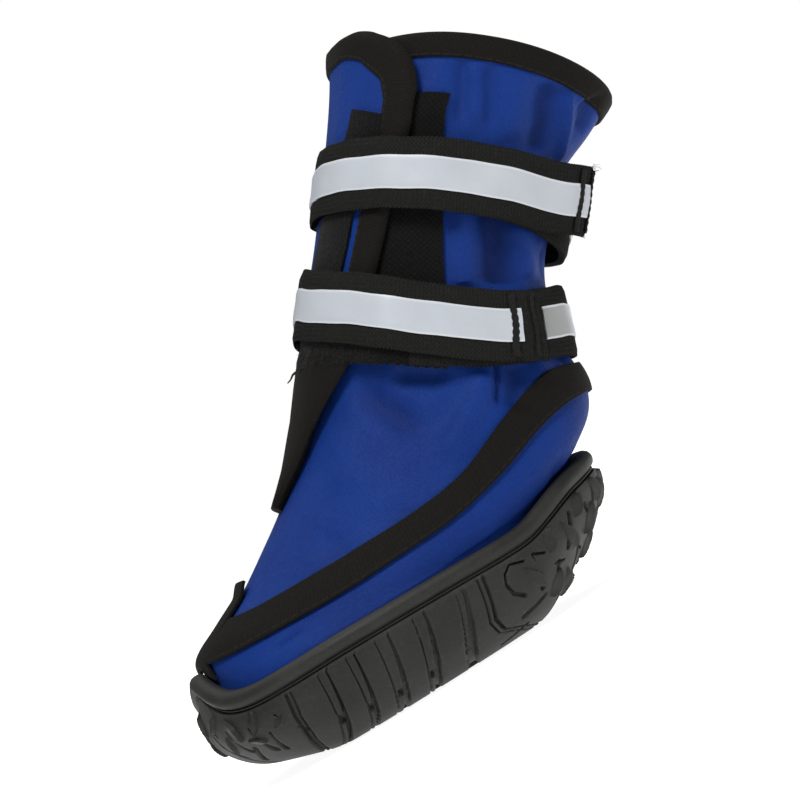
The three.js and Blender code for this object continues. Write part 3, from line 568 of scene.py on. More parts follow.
def makeStitchGroup():  # a row of stitches along the map, at one distance across it
    tree, given, result = newGroup("stitches", [
        ("Map", "NodeSocketVector", None), ("Row", "NodeSocketFloat", 1.2), ("Pitch", "NodeSocketFloat", 2.4),
        ("Half", "NodeSocketFloat", 0.28),
    ], [("Mask", "NodeSocketFloat")])
    parts = addNode(tree, "ShaderNodeSeparateXYZ", n0=given["Map"]).outputs
    away = calculate(tree, "ABSOLUTE", calculate(tree, "SUBTRACT", parts[1], given["Row"]))
    beside = smoothShare(tree, away, given["Half"], calculate(tree, "MULTIPLY", given["Half"], 0.4))
    turn = calculate(tree, "FRACT", calculate(tree, "DIVIDE", parts[0], given["Pitch"]))
    middle = calculate(tree, "ABSOLUTE", calculate(tree, "SUBTRACT", turn, 0.5))
    length = smoothShare(tree, middle, 0.42, 0.32)
    tree.links.new(calculate(tree, "MULTIPLY", beside, length), result["Mask"])
    return tree


weaveGroup, mottleGroup, stitchGroup = makeWeaveGroup(), makeMottleGroup(), makeStitchGroup()


def useGroup(tree, group, **inputs):
    return addNode(tree, "ShaderNodeGroup", {"node_tree": group}, **inputs).outputs[0]


def newMaterial(name, roughness, specular, sheen=0.0, sheenColour=(1, 1, 1, 1)):
    material = bpy.data.materials.new(name)
    material.use_nodes = True
    tree = material.node_tree
    shader = tree.nodes["Principled BSDF"]
    shader.inputs["Roughness"].default_value = roughness
    shader.inputs["Specular IOR Level"].default_value = specular
    shader.inputs["Sheen Weight"].default_value = sheen
    shader.inputs["Sheen Roughness"].default_value = 0.45
    shader.inputs["Sheen Tint"].default_value = sheenColour
    place = addNode(tree, "ShaderNodeTexCoord").outputs
    return material, tree, shader, place


def blend(tree, share, first, second):
    node = addNode(tree, "ShaderNodeMix", {"data_type": "RGBA"})
    for number, value in ((0, share), (6, first), (7, second)):
        setSocket(tree, node.inputs[number], value)
    return node.outputs[2]


def emboss(tree, shader, height, distance, strength=1.0, under=None):
    inputs = {"Height": height, "Distance": distance, "Strength": strength}
    if under is not None:
        inputs["Normal"] = under
    node = addNode(tree, "ShaderNodeBump", **inputs)
    tree.links.new(node.outputs[0], shader.inputs["Normal"])
    return node.outputs[0]


# The cloth's shadow colour is painted shade, laid into the cloth where the folds sink in
clothFinish = {
    "blue": (0.0036, 0.0245, 0.152, 1), "deep": (0.002, 0.0142, 0.1, 1), "shadow": (0.0006, 0.0035, 0.03, 1),
    "sheen": (0.2, 0.4, 1, 1), "roughness": 0.68, "threads": 2.6, "hollowDepth": -3.2, "hollowShade": 0.62,
}


def makeCloth():
    material, tree, shader, place = newMaterial("blueCloth", clothFinish["roughness"], 0.1, 0.03, clothFinish["sheen"])
    blotch = useGroup(tree, mottleGroup, Place=place["Object"], Size=42.0, Low=0.35, High=0.7)
    grain = useGroup(tree, mottleGroup, Place=place["Object"], Size=2600.0, Low=0.3, High=0.7, Detail=1.0)
    threads = useGroup(tree, weaveGroup, Map=place["UV"], Across=clothFinish["threads"],
                       Along=clothFinish["threads"] * 1.3)
    tone = calculate(tree, "MULTIPLY_ADD", grain, 0.35, calculate(tree, "MULTIPLY", blotch, 0.5))
    # painted shade: the cloth is darkened toward the shadow colour as the folds sink, standing in for the shade in
    # their troughs
    hollow = addNode(tree, "ShaderNodeAttribute", {"attribute_name": "hollow"}).outputs["Fac"]
    shade = smoothShare(tree, hollow, 0.0, clothFinish["hollowDepth"], clothFinish["hollowShade"])
    plain = blend(tree, tone, clothFinish["blue"], clothFinish["deep"])
    tree.links.new(blend(tree, shade, plain, clothFinish["shadow"]), shader.inputs["Base Color"])
    rough = calculate(tree, "MULTIPLY_ADD", grain, 0.14, clothFinish["roughness"] - 0.07)
    tree.links.new(rough, shader.inputs["Roughness"])
    first = emboss(tree, shader, threads, 0.00006, 0.35)
    soft = useGroup(tree, mottleGroup, Place=place["Object"], Size=420.0, Low=0.2, High=0.8)
    emboss(tree, shader, soft, 0.00025, 0.35, first)
    return material


def makeDarkTextile(name, colour, light, across, along, bump, roughness=0.85, stitches=()):
    material, tree, shader, place = newMaterial(name, roughness, 0.05, 0.01)
    threads = useGroup(tree, weaveGroup, Map=place["UV"], Across=across, Along=along)
    fluff = useGroup(tree, mottleGroup, Place=place["Object"], Size=1600.0, Low=0.45, High=0.8, Detail=3.0)
    tone = calculate(tree, "MULTIPLY_ADD", threads, 0.35, calculate(tree, "MULTIPLY", fluff, 0.2))
    height = threads
    for row in stitches:
        sewn = useGroup(tree, stitchGroup, Map=place["UV"], Row=row)
        tone = calculate(tree, "MAXIMUM", tone, calculate(tree, "MULTIPLY", sewn, 0.8))
        height = calculate(tree, "ADD", height, calculate(tree, "MULTIPLY", sewn, 2.5))
    tree.links.new(blend(tree, tone, colour, light), shader.inputs["Base Color"])
    worn = calculate(tree, "MULTIPLY_ADD", fluff, -0.12, roughness)
    tree.links.new(worn, shader.inputs["Roughness"])
    first = emboss(tree, shader, height, bump, 0.6)
    emboss(tree, shader, fluff, 0.00008, 0.3, first)
    return material


def makePile(name, colour, light, size, bump):
    material, tree, shader, place = newMaterial(name, 0.95, 0.05, 0.05)
    loops = addNode(tree, "ShaderNodeTexVoronoi", Vector=place["Object"], Scale=size)
    fluff = useGroup(tree, mottleGroup, Place=place["Object"], Size=size * 1.7, Low=0.4, High=0.7, Detail=5.0)
    near = calculate(tree, "SUBTRACT", 1.0, loops.outputs["Distance"])
    dots = useGroup(tree, weaveGroup, Map=place["UV"], Across=1.5, Along=1.5)
    tufts = calculate(tree, "MULTIPLY", calculate(tree, "MULTIPLY", fluff, near), 0.4)
    tone = calculate(tree, "MULTIPLY_ADD", dots, 0.55, tufts)
    tree.links.new(blend(tree, tone, colour, light), shader.inputs["Base Color"])
    tree.links.new(calculate(tree, "MULTIPLY_ADD", fluff, -0.1, 0.97), shader.inputs["Roughness"])
    emboss(tree, shader, calculate(tree, "MULTIPLY", near, fluff), bump, 0.9)
    return material


# The darker colour over the start of each tape is painted shade, where the tape turns away from the light
tapeFinish = {
    "grey": (0.36, 0.382, 0.415, 1), "shade": (0.27, 0.287, 0.312, 1), "edge": (0.42, 0.435, 0.46, 1),
    "startShade": (0.2, 0.205, 0.2, 1), "startShadeUntil": 9.0, "plainFrom": 17.0, "width": 7.4,
}


def makeReflective():
    material, tree, shader, place = newMaterial("reflectiveTape", 0.42, 0.35)
    parts = addNode(tree, "ShaderNodeSeparateXYZ", n0=place["UV"]).outputs
    middle = calculate(tree, "ABSOLUTE", calculate(tree, "SUBTRACT", parts[1], tapeFinish["width"] / 2))
    edge = smoothShare(tree, middle, tapeFinish["width"] / 2 - 0.55, tapeFinish["width"] / 2 - 0.3)
    beads = addNode(tree, "ShaderNodeTexVoronoi", Vector=place["Object"], Scale=4200.0).outputs["Distance"]
    patch = useGroup(tree, mottleGroup, Place=place["Object"], Size=75.0, Low=0.35, High=0.75)
    lines = useGroup(tree, weaveGroup, Map=place["UV"], Across=1.7, Along=0.001)
    tone = calculate(tree, "MULTIPLY_ADD", beads, 0.25, calculate(tree, "MULTIPLY", patch, 0.3))
    plain = blend(tree, tone, tapeFinish["grey"], tapeFinish["shade"])
    start = smoothShare(tree, parts[0], tapeFinish["startShadeUntil"], tapeFinish["plainFrom"])
    plain = blend(tree, start, tapeFinish["startShade"], plain)  # painted shade: each tape is darker near its start, standing in for the shade where it turns away from the light
    tree.links.new(blend(tree, edge, plain, tapeFinish["edge"]), shader.inputs["Base Color"])
    tree.links.new(calculate(tree, "MULTIPLY_ADD", patch, 0.12, 0.38), shader.inputs["Roughness"])
    first = emboss(tree, shader, beads, 0.00003, 0.25)
    emboss(tree, shader, lines, 0.00002, 0.2, first)
    return material


rubberFinish = {"dark": (0.0082, 0.0083, 0.0076, 1), "dust": (0.034, 0.0335, 0.03, 1), "roughness": 0.6}


def makeRubber():
    material, tree, shader, place = newMaterial("mouldedRubber", rubberFinish["roughness"], 0.2)
    patch = useGroup(tree, mottleGroup, Place=place["Object"], Size=60.0, Low=0.3, High=0.75, Detail=5.0)
    grit = useGroup(tree, mottleGroup, Place=place["Object"], Size=1500.0, Low=0.45, High=0.8, Detail=2.0)
    worn = addNode(tree, "ShaderNodeAttribute", {"attribute_name": "worn"}).outputs["Fac"]
    tone = calculate(tree, "MULTIPLY_ADD", patch, 0.35, calculate(tree, "MULTIPLY", grit, 0.2))
    tone = calculate(tree, "MULTIPLY_ADD", worn, 0.45, tone)
    tree.links.new(blend(tree, tone, rubberFinish["dark"], rubberFinish["dust"]), shader.inputs["Base Color"])
    rough = calculate(tree, "MULTIPLY_ADD", patch, 0.16, rubberFinish["roughness"] - 0.08)
    tree.links.new(rough, shader.inputs["Roughness"])
    pores = useGroup(tree, mottleGroup, Place=place["Object"], Size=900.0, Low=0.3, High=0.7, Detail=3.0)
    emboss(tree, shader, pores, 0.00008, 0.3)
    return material


blueCloth = makeCloth()
reflectiveTape = makeReflective()
mouldedRubber = makeRubber()


def tones(dark, light):
    return (*dark, 1), (*light, 1)


liningKnit = makeDarkTextile("liningKnit", *tones((0.006, 0.006, 0.007), (0.02, 0.02, 0.022)), 1.6, 2.2, 0.0001, 0.92)
trimTape = makeDarkTextile("trimTape", *tones((0.0048, 0.0044, 0.0038), (0.0135, 0.0128, 0.0112)),
                           2.2, 1.4, 0.00005, 0.8, [1.1])
ribbedWebbing = makeDarkTextile("ribbedWebbing", *tones((0.005, 0.005, 0.0047), (0.024, 0.0238, 0.0225)),
                                2.1, 1.9, 0.00006, 0.75)
blackThread = makeDarkTextile("blackThread", *tones((0.008,) * 3, (0.02,) * 3), 3.0, 3.0, 0.00003)
whiteThread = makeDarkTextile("whiteThread", *tones((0.5, 0.5, 0.49), (0.75, 0.75, 0.74)), 3.0, 3.0, 0.00003)
loopPile = makePile("loopPile", *tones((0.0028, 0.0028, 0.003), (0.0095, 0.0095, 0.0098)), 2000.0, 0.0003)
hookPile = makePile("hookPile", *tones((0.0026, 0.0026, 0.0028), (0.008,) * 3), 1800.0, 0.0002)
insoleFelt = makePile("insoleFelt", *tones((0.01, 0.01, 0.011), (0.035, 0.035, 0.037)), 1800.0, 0.0002)
print("finishes made")


# Upper: one cloth tube from inside the cup to the collar, open down its slit under the flap
upperPiece = {"around": 300, "up": 150, "slitHalf": 0.9, "dip": 1.4}


def addUpper():
    def spot(u, v):
        row = np.interp(v, [0, 0.04, 1], [0, 1.7, collarRow])
        gap = upperPiece["slitHalf"] * easeIn(throatRow + 0.4, throatRow + 0.9, row)
        return row, slitAngle + gap + u * (360 - 2 * gap)

    def place(u, v):
        row, angle = spot(u, v)
        past = angle - 360 - readTable(flapRows, row, 1)
        under = easeIn(0, 8, past) * easeIn(throatRow - 0.1, throatRow + 1, row)
        return onCloth(row, angle, -upperPiece["dip"] * under)

    # the folds' heights go with the cloth, for the painted shade in their troughs
    piece = shapedGrid("upperCloth", upperPiece["around"], upperPiece["up"], place,
                       lambda u, v: lineHeight(upperFace(*spot(u, v)), folds))
    inEditMode(lambda: bpy.ops.mesh.remove_doubles(threshold=1e-6))
    piece.data.materials.append(blueCloth)
    piece.data.materials.append(liningKnit)
    thicken(piece, clothThickness, material=1)
    finishPiece(piece, [], ["upper"])


def addFlap():
    def place(u, v):
        row = np.interp(v, np.linspace(0, 1, len(flapSteps)), flapSteps)
        root, edge = readTable(flapRows, row, 1) - 3, readTable(flapRows, row, 3)
        angle = mixed(root, edge - 0.6, u)
        return flapFace(row, angle, flapThickness - 0.12 * easeIn(4, 0, angle - root))

    piece = shapedGrid("flapCloth", 64, 96, place)
    piece.data.materials.append(blueCloth)
    piece.data.materials.append(liningKnit)
    thicken(piece, flapThickness, material=1)
    finishPiece(piece, [], ["upper"])


addUpper()
addFlap()
print("upper and flap made")


# Binding: one folded tape up the flap's free edge, round its corner and on round the collar
bindingPiece = {"width": 5.3, "steps": 330, "turnSpan": 0.024}
bindingWedge = [  # row, and the angle that the binding reaches there as it broadens at the throat
    (throatRow - 0.1, -3), (throatRow + 0.5, -12), (throatRow + 1.2, -20), (throatRow + 2, -24), (throatRow + 4, -24),
]
bindingSection = [  # in from the edge, share of the way from the outer face to the inner, height off the face
    (5.3, 0, 0.02), (5.35, 0, 0.45), (5.0, 0, 0.72), (4.0, 0, 0.8), (2.2, 0, 0.86), (0.7, 0, 0.78), (-0.25, 0.1, 0.5),
    (-0.7, 0.3, 0.25), (-0.85, 0.5, 0), (-0.7, 0.7, 0.2), (-0.25, 0.9, 0.4), (0.7, 1, 0.45), (2.6, 1, 0.5),
    (4.9, 1, 0.45), (5.3, 1, 0.3), (5.3, 1, 0.02),
]


def edgePath(share):
    edgeRows = np.array(belowCorner + [collarRow - k for k in (0.6, 0.42, 0.28, 0.17, 0.08, 0.02)])
    rows = np.concatenate([edgeRows, np.full(60, collarRow)])
    angles = np.concatenate([readTable(flapRows, edgeRows, 3), np.linspace(36, -333, 60)])
    length = travelled(upperFace(rows, angles))
    length /= length[-1]
    return np.interp(share, length, rows), np.interp(share, length, angles)


def addBinding():
    section = np.array([*bindingSection, bindingSection[0]])
    spots = np.linspace(0, 1, len(section))

    def place(u, v):
        row, angle = edgePath(u)
        ahead, behind = (edgePath(np.clip(u + way * bindingPiece["turnSpan"], 0, 1)) for way in (1, -1))
        forward = unit(upperFace(*ahead) - upperFace(*behind))
        upward, around, out, speed = upperDirections(row, angle)
        inward = unit(np.cross(out, forward))
        turnSpeed = np.linalg.norm(upperFace(row, angle + 0.5) - upperFace(row, angle - 0.5), axis=1)
        inset, share, lift = (np.interp(v, spots, column) for column in section.T)
        low = easeIn(throatRow + 3.6, throatRow + 2.7, row)
        broad = (readTable(flapRows, row, 3) - readTable(bindingWedge, row)) * turnSpeed / bindingPiece["width"]
        inward = unit(mixed(inward, -around, low[:, None]))
        top = easeIn(40, 12, np.abs(angle - 6)) * easeIn(collarRow - 0.6, collarRow, row)  # narrower over the flap
        inset = inset * mixed(mixed(1, np.maximum(broad, 1), low) * (1 - 0.3 * top), 1, share)
        atRow = row + inset * (inward * upward).sum(1) / speed
        atAngle = angle + inset * (inward * around).sum(1) / turnSpeed
        past = atAngle - readTable(flapRows, atRow, 1)
        flap = easeIn(-3, 0, past)
        raised = readTable(flapLift, past)
        outer = flap * (raised + flapThickness)
        inner = mixed(-clothThickness, raised, flap)
        atRow = atRow + flapCrown(atRow, atAngle) * flap
        return onCloth(atRow, atAngle, mixed(outer, inner, share) + lift * (1 - 2 * share) + 0.06)

    piece = shapedGrid("edgeBinding", bindingPiece["steps"], 32, place)
    closeUp(1e-6)
    finishPiece(piece, [trimTape], ["collar_binding", "flap_binding"], 60)


addBinding()
print("binding made")


# Tapes over the seams, and the patches of hook and loop
sideTapeRows = [
    (10, 0.229, 0.272), (30, 0.223, 0.267), (60, 0.219, 0.269), (78, 0.224, 0.273), (90, 0.23, 0.285),
    (104, 0.253, 0.324), (118, 0.281, 0.349), (132, 0.294, 0.356), (152, 0.295, 0.347), (178.5, 0.291, 0.339),
]
tapePiece = {"off": 0.35, "thick": 0.75, "toeWidth": 12, "toeCurl": 1.1, "softEdge": 0.22}


def rowAtHeight(angle, height):
    low, high = np.full_like(angle, 1.0), np.full_like(angle, collarRow - 4.0)
    for _ in range(20):
        middle = (low + high) / 2
        below = upperFace(middle, angle)[..., 2] < height
        low, high = np.where(below, middle, low), np.where(below, high, middle)
    return low


def addSideTape(side, name):
    def place(u, v):
        angle = mixed(sideTapeRows[0][0], sideTapeRows[-1][0], u)
        height = mixed(readTable(sideTapeRows, angle, 1), readTable(sideTapeRows, angle, 2), v if side > 0 else 1 - v)
        crown = 0.18 * np.sin(math.pi * v)
        row = rowAtHeight(side * angle, height * bootHeight)
        return onCloth(row, side * angle, tapePiece["off"] + tapePiece["thick"] + crown)

    piece = shapedGrid("sideTape" + name, 150, 14, place)
    thicken(piece, tapePiece["thick"])
    softenEdges(piece, tapePiece["softEdge"])
    finishPiece(piece, [trimTape], ["side_tape_" + name.lower()])


def addToeTape():
    def place(u, v):
        row = mixed(2.15, cupRows + 2.15, v)
        half = upperFace(row, np.full_like(row, 90.0))[:, 1]
        share = (u - 0.5) * tapePiece["toeWidth"] * mixed(1.4, 0.9, v) / half
        angle = np.degrees(np.arcsin(signedPower(share, upperSquareness / 2)))
        curl = tapePiece["toeCurl"] * easeIn(0.86, 1.0, v)
        return onCloth(row, angle, tapePiece["off"] + tapePiece["thick"] + 0.1 + curl)

    piece = shapedGrid("toeTape", 24, 60, place)
    thicken(piece, tapePiece["thick"])
    softenEdges(piece, tapePiece["softEdge"])
    finishPiece(piece, [trimTape], ["toe_tape"])


patchPiece = {"off": 0.95, "thick": 0.6}


def addPatch(name, place, material, node):
    piece = shapedGrid(name, 56, 72, place)
    thicken(piece, patchPiece["thick"])
    finishPiece(piece, [material], [node])


def roughened(u, v, size):
    return size * np.sin(u * 977 + 3 * np.sin(v * 811)) * np.cos(v * 1291 + 2 * np.sin(u * 677))


def loopPatchPlace(u, v):
    row = mixed(collarRow - 5.4, collarRow - 1.55, v)
    return onCloth(row, mixed(34, mixed(88, 84, v), u), patchPiece["off"] + roughened(u, v, 0.09))


def flapPatchPlace(u, v):
    row = mixed(collarRow - 5.4, collarRow - 1.68 - 0.32 * u, v)
    left, right = mixed(10, 35, easeIn(0.2, 1, v)), readTable(flapRows, row, 2) + mixed(-4, 1, easeIn(0.45, 0.75, v))
    return flapFace(row, mixed(left, right, u), flapThickness + patchPiece["off"] + roughened(u, v, 0.05))


addSideTape(1, "Left")
addSideTape(-1, "Right")
addToeTape()
addPatch("loopPatch", loopPatchPlace, loopPile, "loop_patch")
addPatch("flapPatch", flapPatchPlace, hookPile, "flap_patch")
print("tapes and patches made")


# Straps: ribbed webbing once round the shaft, the free end over its own start, with a reflective tape
strapPiece = {"width": 16, "thick": 1.5, "slack": 5, "rib": 0.86, "ribHigh": 0.26, "tapeWidth": 7.4, "tapeThick": 0.3}
strapLines = {  # the middle's row, below the collar, by the angle travelled; and the space off the cloth
    "Upper": {
        "node": "strap_upper", "start": 92, "end": 360 + 156, "tape": (164, 360 + 155.6), "endSpace": 0.5,
        "stitches": (5.0, 0.7),
        "middle": [(92, 3.15), (150, 3.12), (200, 3.15), (260, 3.1), (325, 2.95), (360, 2.92), (387, 2.99), (409, 3.06),
                   (444, 3.16), (489, 3.1), (502, 2.98), (516, 2.8)],
        "space": [(0, 0.6), (12, 0.78), (25, 0.9), (45, 0.94), (64, 0.94), (84, 0.62), (100, 0.28), (135, 0.42),
                  (180, 0.72), (225, 0.4), (262, 0.14), (325, 0.14), (344, 0.46), (360, 0.6)],
    },
    "Lower": {
        "node": "strap_lower", "start": 74, "end": 360 + 126, "tape": (131, 360 + 116.6), "endSpace": 0.1,
        "stitches": (7.6, 2.4),
        "middle": [(74, 6.3), (85, 6.45), (100, 6.7), (125, 6.88), (150, 6.82), (180, 6.72), (225, 6.6), (270, 6.2),
                   (325, 5.4), (360, 5.2), (390, 5.42), (413, 5.67), (445, 6.24), (460, 6.55), (475, 6.82), (486, 6.98)],
        "space": [(0, 0.66), (12, 0.86), (25, 0.96), (45, 0.98), (64, 0.98), (84, 0.6), (100, 0.36), (135, 0.6),
                  (180, 0.56), (225, 0.46), (262, 0.22), (325, 0.18), (344, 0.5), (360, 0.66)],
    },
}


def onStrap(strap, angle, across, height):
    over = easeIn(360 + strap["start"] - 26, 360 + strap["start"] - 6, angle)
    away = strap["endSpace"] * easeIn(strap["end"] - 30, strap["end"], angle)
    row = collarRow - readTable(strap["middle"], angle)
    space = strapPiece["slack"] * (readTable(strap["space"], angle % 360) + away)
    space = space + over * (strapPiece["thick"] + clearance) + height
    upward, _, out, _ = upperDirections(row, angle)
    return upperFace(row, angle) + out * space[..., None] + upward * np.broadcast_to(across, row.shape)[..., None]


def addStrap(name, strap):
    half = strapPiece["width"] / 2
    angles = np.linspace(strap["start"], strap["end"], 400)
    length = travelled(onStrap(strap, angles, 0.0, np.zeros(400)))
    ribs = int(length[-1] / strapPiece["rib"])

    def ripple(along, across):
        wave = 0.16 * np.sin(along * 61 + across) + 0.1 * np.sin(along * 143)
        return np.array([0, 0, 1.0]) * (wave * 0.6)[:, None]

    def place(u, v):
        angle = np.interp(u * length[-1], length, angles)
        across = (v - 0.5) * 2 * half
        edge = easeIn(strapPiece["tapeWidth"] / 2, strapPiece["tapeWidth"] / 2 + 0.5, np.abs(across))
        rib = strapPiece["ribHigh"] * (np.cos(2 * math.pi * u * ribs) - 1) / 2 * (edge * 0.8 + 0.2)
        border = -0.35 * easeIn(half - 0.9, half, np.abs(across))
        slid = across + 0.12 * np.sin(u * 2 * math.pi * ribs) * edge
        return onStrap(strap, angle, slid, strapPiece["thick"] + rib + border) + ripple(u, across)

    piece = shapedGrid("strap" + name, ribs * 4, 12, place)
    thicken(piece, strapPiece["thick"] - 0.1)
    finishPiece(piece, [ribbedWebbing], [strap["node"]], 60)

    low, high = strap["tape"]

    def placeTape(u, v):
        across = (v - 0.5) * strapPiece["tapeWidth"]
        edge = -0.1 * easeIn(0.86, 1, np.abs(2 * v - 1))
        angle = mixed(low, high, u)
        along = np.interp(angle, angles, length) / length[-1]
        height = strapPiece["thick"] + 0.08 + strapPiece["tapeThick"] + edge
        return onStrap(strap, angle, across, height) + ripple(along, across)

    tape = shapedGrid("strap" + name + "Tape", 260, 10, placeTape)
    thicken(tape, strapPiece["tapeThick"] + 0.1)
    finishPiece(tape, [reflectiveTape], [strap["node"] + "_tape"])


for strapName, strapLine in strapLines.items():
    addStrap(strapName, strapLine)
print("straps made")


# Sole: the tread is a square grid laid over the bottom and side, refined where its pattern is cut
treadPiece = {"grid": 104, "flat": 0.45}
barRims = [37, 29.3, 22.6, 15.0, 5.8, -4.8, -11.4]  # where the lines between the bars leave the rim
barEdges = [1.1, 0.3, 0.3, 0.9, 1.8, 3.0, 1.9]  # how far they have swept to the toe at the bottom's edge
barSweep = [(12, 0.3), (17, 0.5), (28, 1), (38, 1), (48, 0.55), (57, 0), (64, 0)]  # by the way from the middle
barGaps = [0.9, 2.1, 2.0, 3.2, 3.0, 2.1, 1.4]  # between a bar's fine line and its bold one, at the rim
barBold = [0.8, 0.8, 0.95, 1.4, 1.7, 2.5, 1]
heelLine = [(-11.4, 60), (-9.6, 43), (-11, 36), (-15.6, 30), (-21.6, 17), (-24.3, 6), (-24.6, 0)]
toeLine = [(37, 60), (38.1, 42), (36.8, 30), (33.6, 15), (31.8, 6), (31.3, 0)]
darts = [  # the heel's and the toe's tapered marks: angle and way out at each end, half width there
    (107, 0.975, 104.8, 0.945, 0.2, 0.26), (104.8, 0.945, 104.3, 0.9, 0.26, 0.32), (104.3, 0.9, 105.6, 0.85, 0.32, 0.4),
    (105.6, 0.85, 109, 0.812, 0.4, 0.5), (107, 0.975, 111, 0.955, 0.2, 0.2),
    (114, 0.957, 116, 0.791, 0.25, 0.85), (114, 0.957, 118, 0.921, 0.3, 0.2), (124, 0.819, 124, 0.707, 0.5, 0.9),
    (122, 0.83, 128, 0.79, 0.3, 0.2), (140, 0.753, 146, 0.634, 0.5, 0.8), (138, 0.77, 146, 0.72, 0.3, 0.2),
    (132, 0.947, 130, 0.829, 0.7, 1.0), (142, 0.907, 158, 0.72, 0.6, 1.0), (150, 0.97, 150, 0.879, 0.5, 0.9),
    (118, 0.74, 110, 0.702, 0.6, 0.8), (114, 0.634, 105, 0.586, 0.6, 0.5), (163, 0.95, 161, 0.85, 0.5, 0.9),
    (172, 0.98, 174, 0.86, 0.4, 0.9), (180, 0.93, 180, 0.8, 0.5, 0.9), (168, 0.76, 174, 0.64, 0.5, 0.8),
    (134, 0.66, 140, 0.54, 0.5, 0.8), (154, 0.6, 162, 0.48, 0.5, 0.8), (40, 0.941, 44, 0.786, 0.2, 0.45),
    (28, 0.921, 27, 0.72, 0.35, 0.9), (34, 0.86, 30, 0.7, 0.25, 0.7), (16, 0.92, 18, 0.76, 0.3, 0.8),
    (6, 0.9, 8, 0.7, 0.3, 0.9), (22, 0.78, 12, 0.62, 0.6, 0.7),
]
pads = [(-3, 0, 7.4, 8.4), (7.2, 8.9, 4.1, 2.9), (14, 3.7, 4.4, 2.9), (14, -3.7, 4.4, 2.9), (7.2, -8.9, 4.1, 2.9)]
cuts = [  # short angular cuts round the pads, each also mirrored
    [(-8, 11.2), (-12.2, 11.2), (-12.2, 6.6)], [(-16.4, 2.4), (-16.4, 10.4), (-14.2, 13)],
    [(0, 12.6), (0, 15.4), (-5.4, 15.4)], [(4.5, 14.6), (11, 14.6), (11, 12.2)], [(15, 10.5), (15, 15.4)],
    [(18.6, 8), (22.8, 8), (22.8, 13)], [(19.8, 2), (24.4, 2), (24.4, 5)], [(27.4, 0), (27.4, 6.6), (25.2, 9.2)],
    [(-19.6, 0), (-19.6, 6)], [(-11, 1.4), (-14, 4)], [(8.4, 4.4), (8.4, 0)], [(-6.6, 13), (-10.6, 14.6)],
    [(18, 12), (19.6, 14.8)],
]
heelLugs = [  # angle, way out from the middle, turn, size
    (113, 0.86, -32, 0.95), (121, 0.95, 28, 0.85), (124, 0.74, 30, 1), (131, 0.86, -24, 1), (137, 0.96, 34, 0.9),
    (138, 0.66, -20, 1), (146, 0.83, 26, 1), (152, 0.94, -30, 0.95), (156, 0.7, 28, 1), (163, 0.87, -28, 1),
    (169, 0.96, 30, 0.9), (172, 0.76, 24, 1), (180, 0.9, 90, 1), (161, 0.56, -30, 1), (180, 0.62, 90, 1),
]
toeLugs = [
    (8, 0.95, 40, 0.9), (20, 0.93, -36, 0.9), (31, 0.95, 30, 0.8), (12, 0.82, 20, 0.7), (27, 0.83, -60, 0.7),
    (40, 0.9, 70, 0.6),
]
toeFlare = [(31.5, 3.5), (38, 7), (46, 12.5), (56, 22)]
borderSteps = np.array([16.6, 15.2, 17.0, 15.6, 17.4, 15.2, 13.6, 12.5])  # how far out the middle field reaches
rimProfile = np.array([  # in from the outline, and the share of the band's height, over the rim and into the cup
    (1.0, 0), (1.3, 0.02), (1.85, 0.05), (1.85, 0.08), (1.3, 0.11), (1.25, 0.15), (1.7, 0.18), (1.7, 0.22),
    (0.9, 0.26), (0.45, 0.33), (0.2, 0.42), (0.02, 0.55), (0.06, 0.7), (0.4, 0.85), (1.1, 0.96), (2.0, 1.0),
    (2.9, 0.99), (3.7, 0.93), (4.2, 0.8),
])


def fromSquare(p, q):  # a square's point on the disc: the angle, and the way out from the middle
    x, y = p * np.sqrt(np.maximum(1 - q * q / 2, 0)), q * np.sqrt(np.maximum(1 - p * p / 2, 0))
    return np.degrees(np.arctan2(y, x)), np.minimum(np.hypot(x, y), 1)


def treadBase(angle, way):
    place = halfTurn(angle)
    start, squareness = readTable(cornerRows, place, 1), readTable(cornerRows, place, 2)
    turn = np.clip((way - treadPiece["flat"]) / (1 - treadPiece["flat"]), 0, 1) * math.pi / 2
    past = np.sin(turn) ** (2 / squareness)
    rise = 1 - np.cos(turn) ** (2 / squareness)
    share = np.where(way < treadPiece["flat"], start * way / treadPiece["flat"], start + (1 - start) * past)
    point = soleOutline(angle, soleSize["rimProud"]) * share[..., None]
    point[..., 2] = mixed(floorLine(point[..., 0]), rimFoot(angle), rise)
    return leaned(point, angle)


def treadFrame(angle, way):
    step = 0.004
    outward = unit(treadBase(angle, np.minimum(way + step, 1)) - treadBase(angle, np.maximum(way - step, 0)))
    beside = unit(treadBase(angle + 0.4, np.maximum(way, 0.01)) - treadBase(angle - 0.4, np.maximum(way, 0.01)))
    return outward, beside, unit(np.cross(outward, beside)) * -1.0


def carve(height, away, half, depth, soft=0.16):
    return np.minimum(height, -depth * easeIn(half + soft, half - soft, away))


def lineDistance(x, y, line):
    best = np.full(x.shape, 1e9)
    for (ax, ay), (bx, by) in zip(line[:-1], line[1:]):
        dx, dy = bx - ax, by - ay
        share = np.clip(((x - ax) * dx + (y - ay) * dy) / (dx * dx + dy * dy), 0, 1)
        best = np.minimum(best, np.hypot(x - ax - share * dx, y - ay - share * dy))
    return best


def lineX(line, across):
    table = sorted((y, x) for x, y in line)
    return np.interp(across, [y for y, x in table], [x for y, x in table])


def lugShape(point, centre, frame, turn, size):
    outward, beside, out = frame
    c, s = math.cos(math.radians(turn)), math.sin(math.radians(turn))
    longways, sideways = outward * c + beside * s, beside * c - outward * s
    gap = point - centre
    along, across, deep = gap @ longways / (4.2 * size), gap @ sideways, gap @ out
    half = 1.75 * size * np.maximum(1 - np.abs(along) ** 1.7, 0) * mixed(1.15, 0.75, (along + 1) / 2)
    inside = easeIn(0, 0.32, half - np.abs(across)) * (np.abs(deep) < 5) * (np.abs(along) < 1)
    climb = mixed(0.12, 1, np.clip((across / np.maximum(half, 1e-3) + 1) / 2, 0, 1) ** 1.3)
    return 1.5 * size * inside * climb


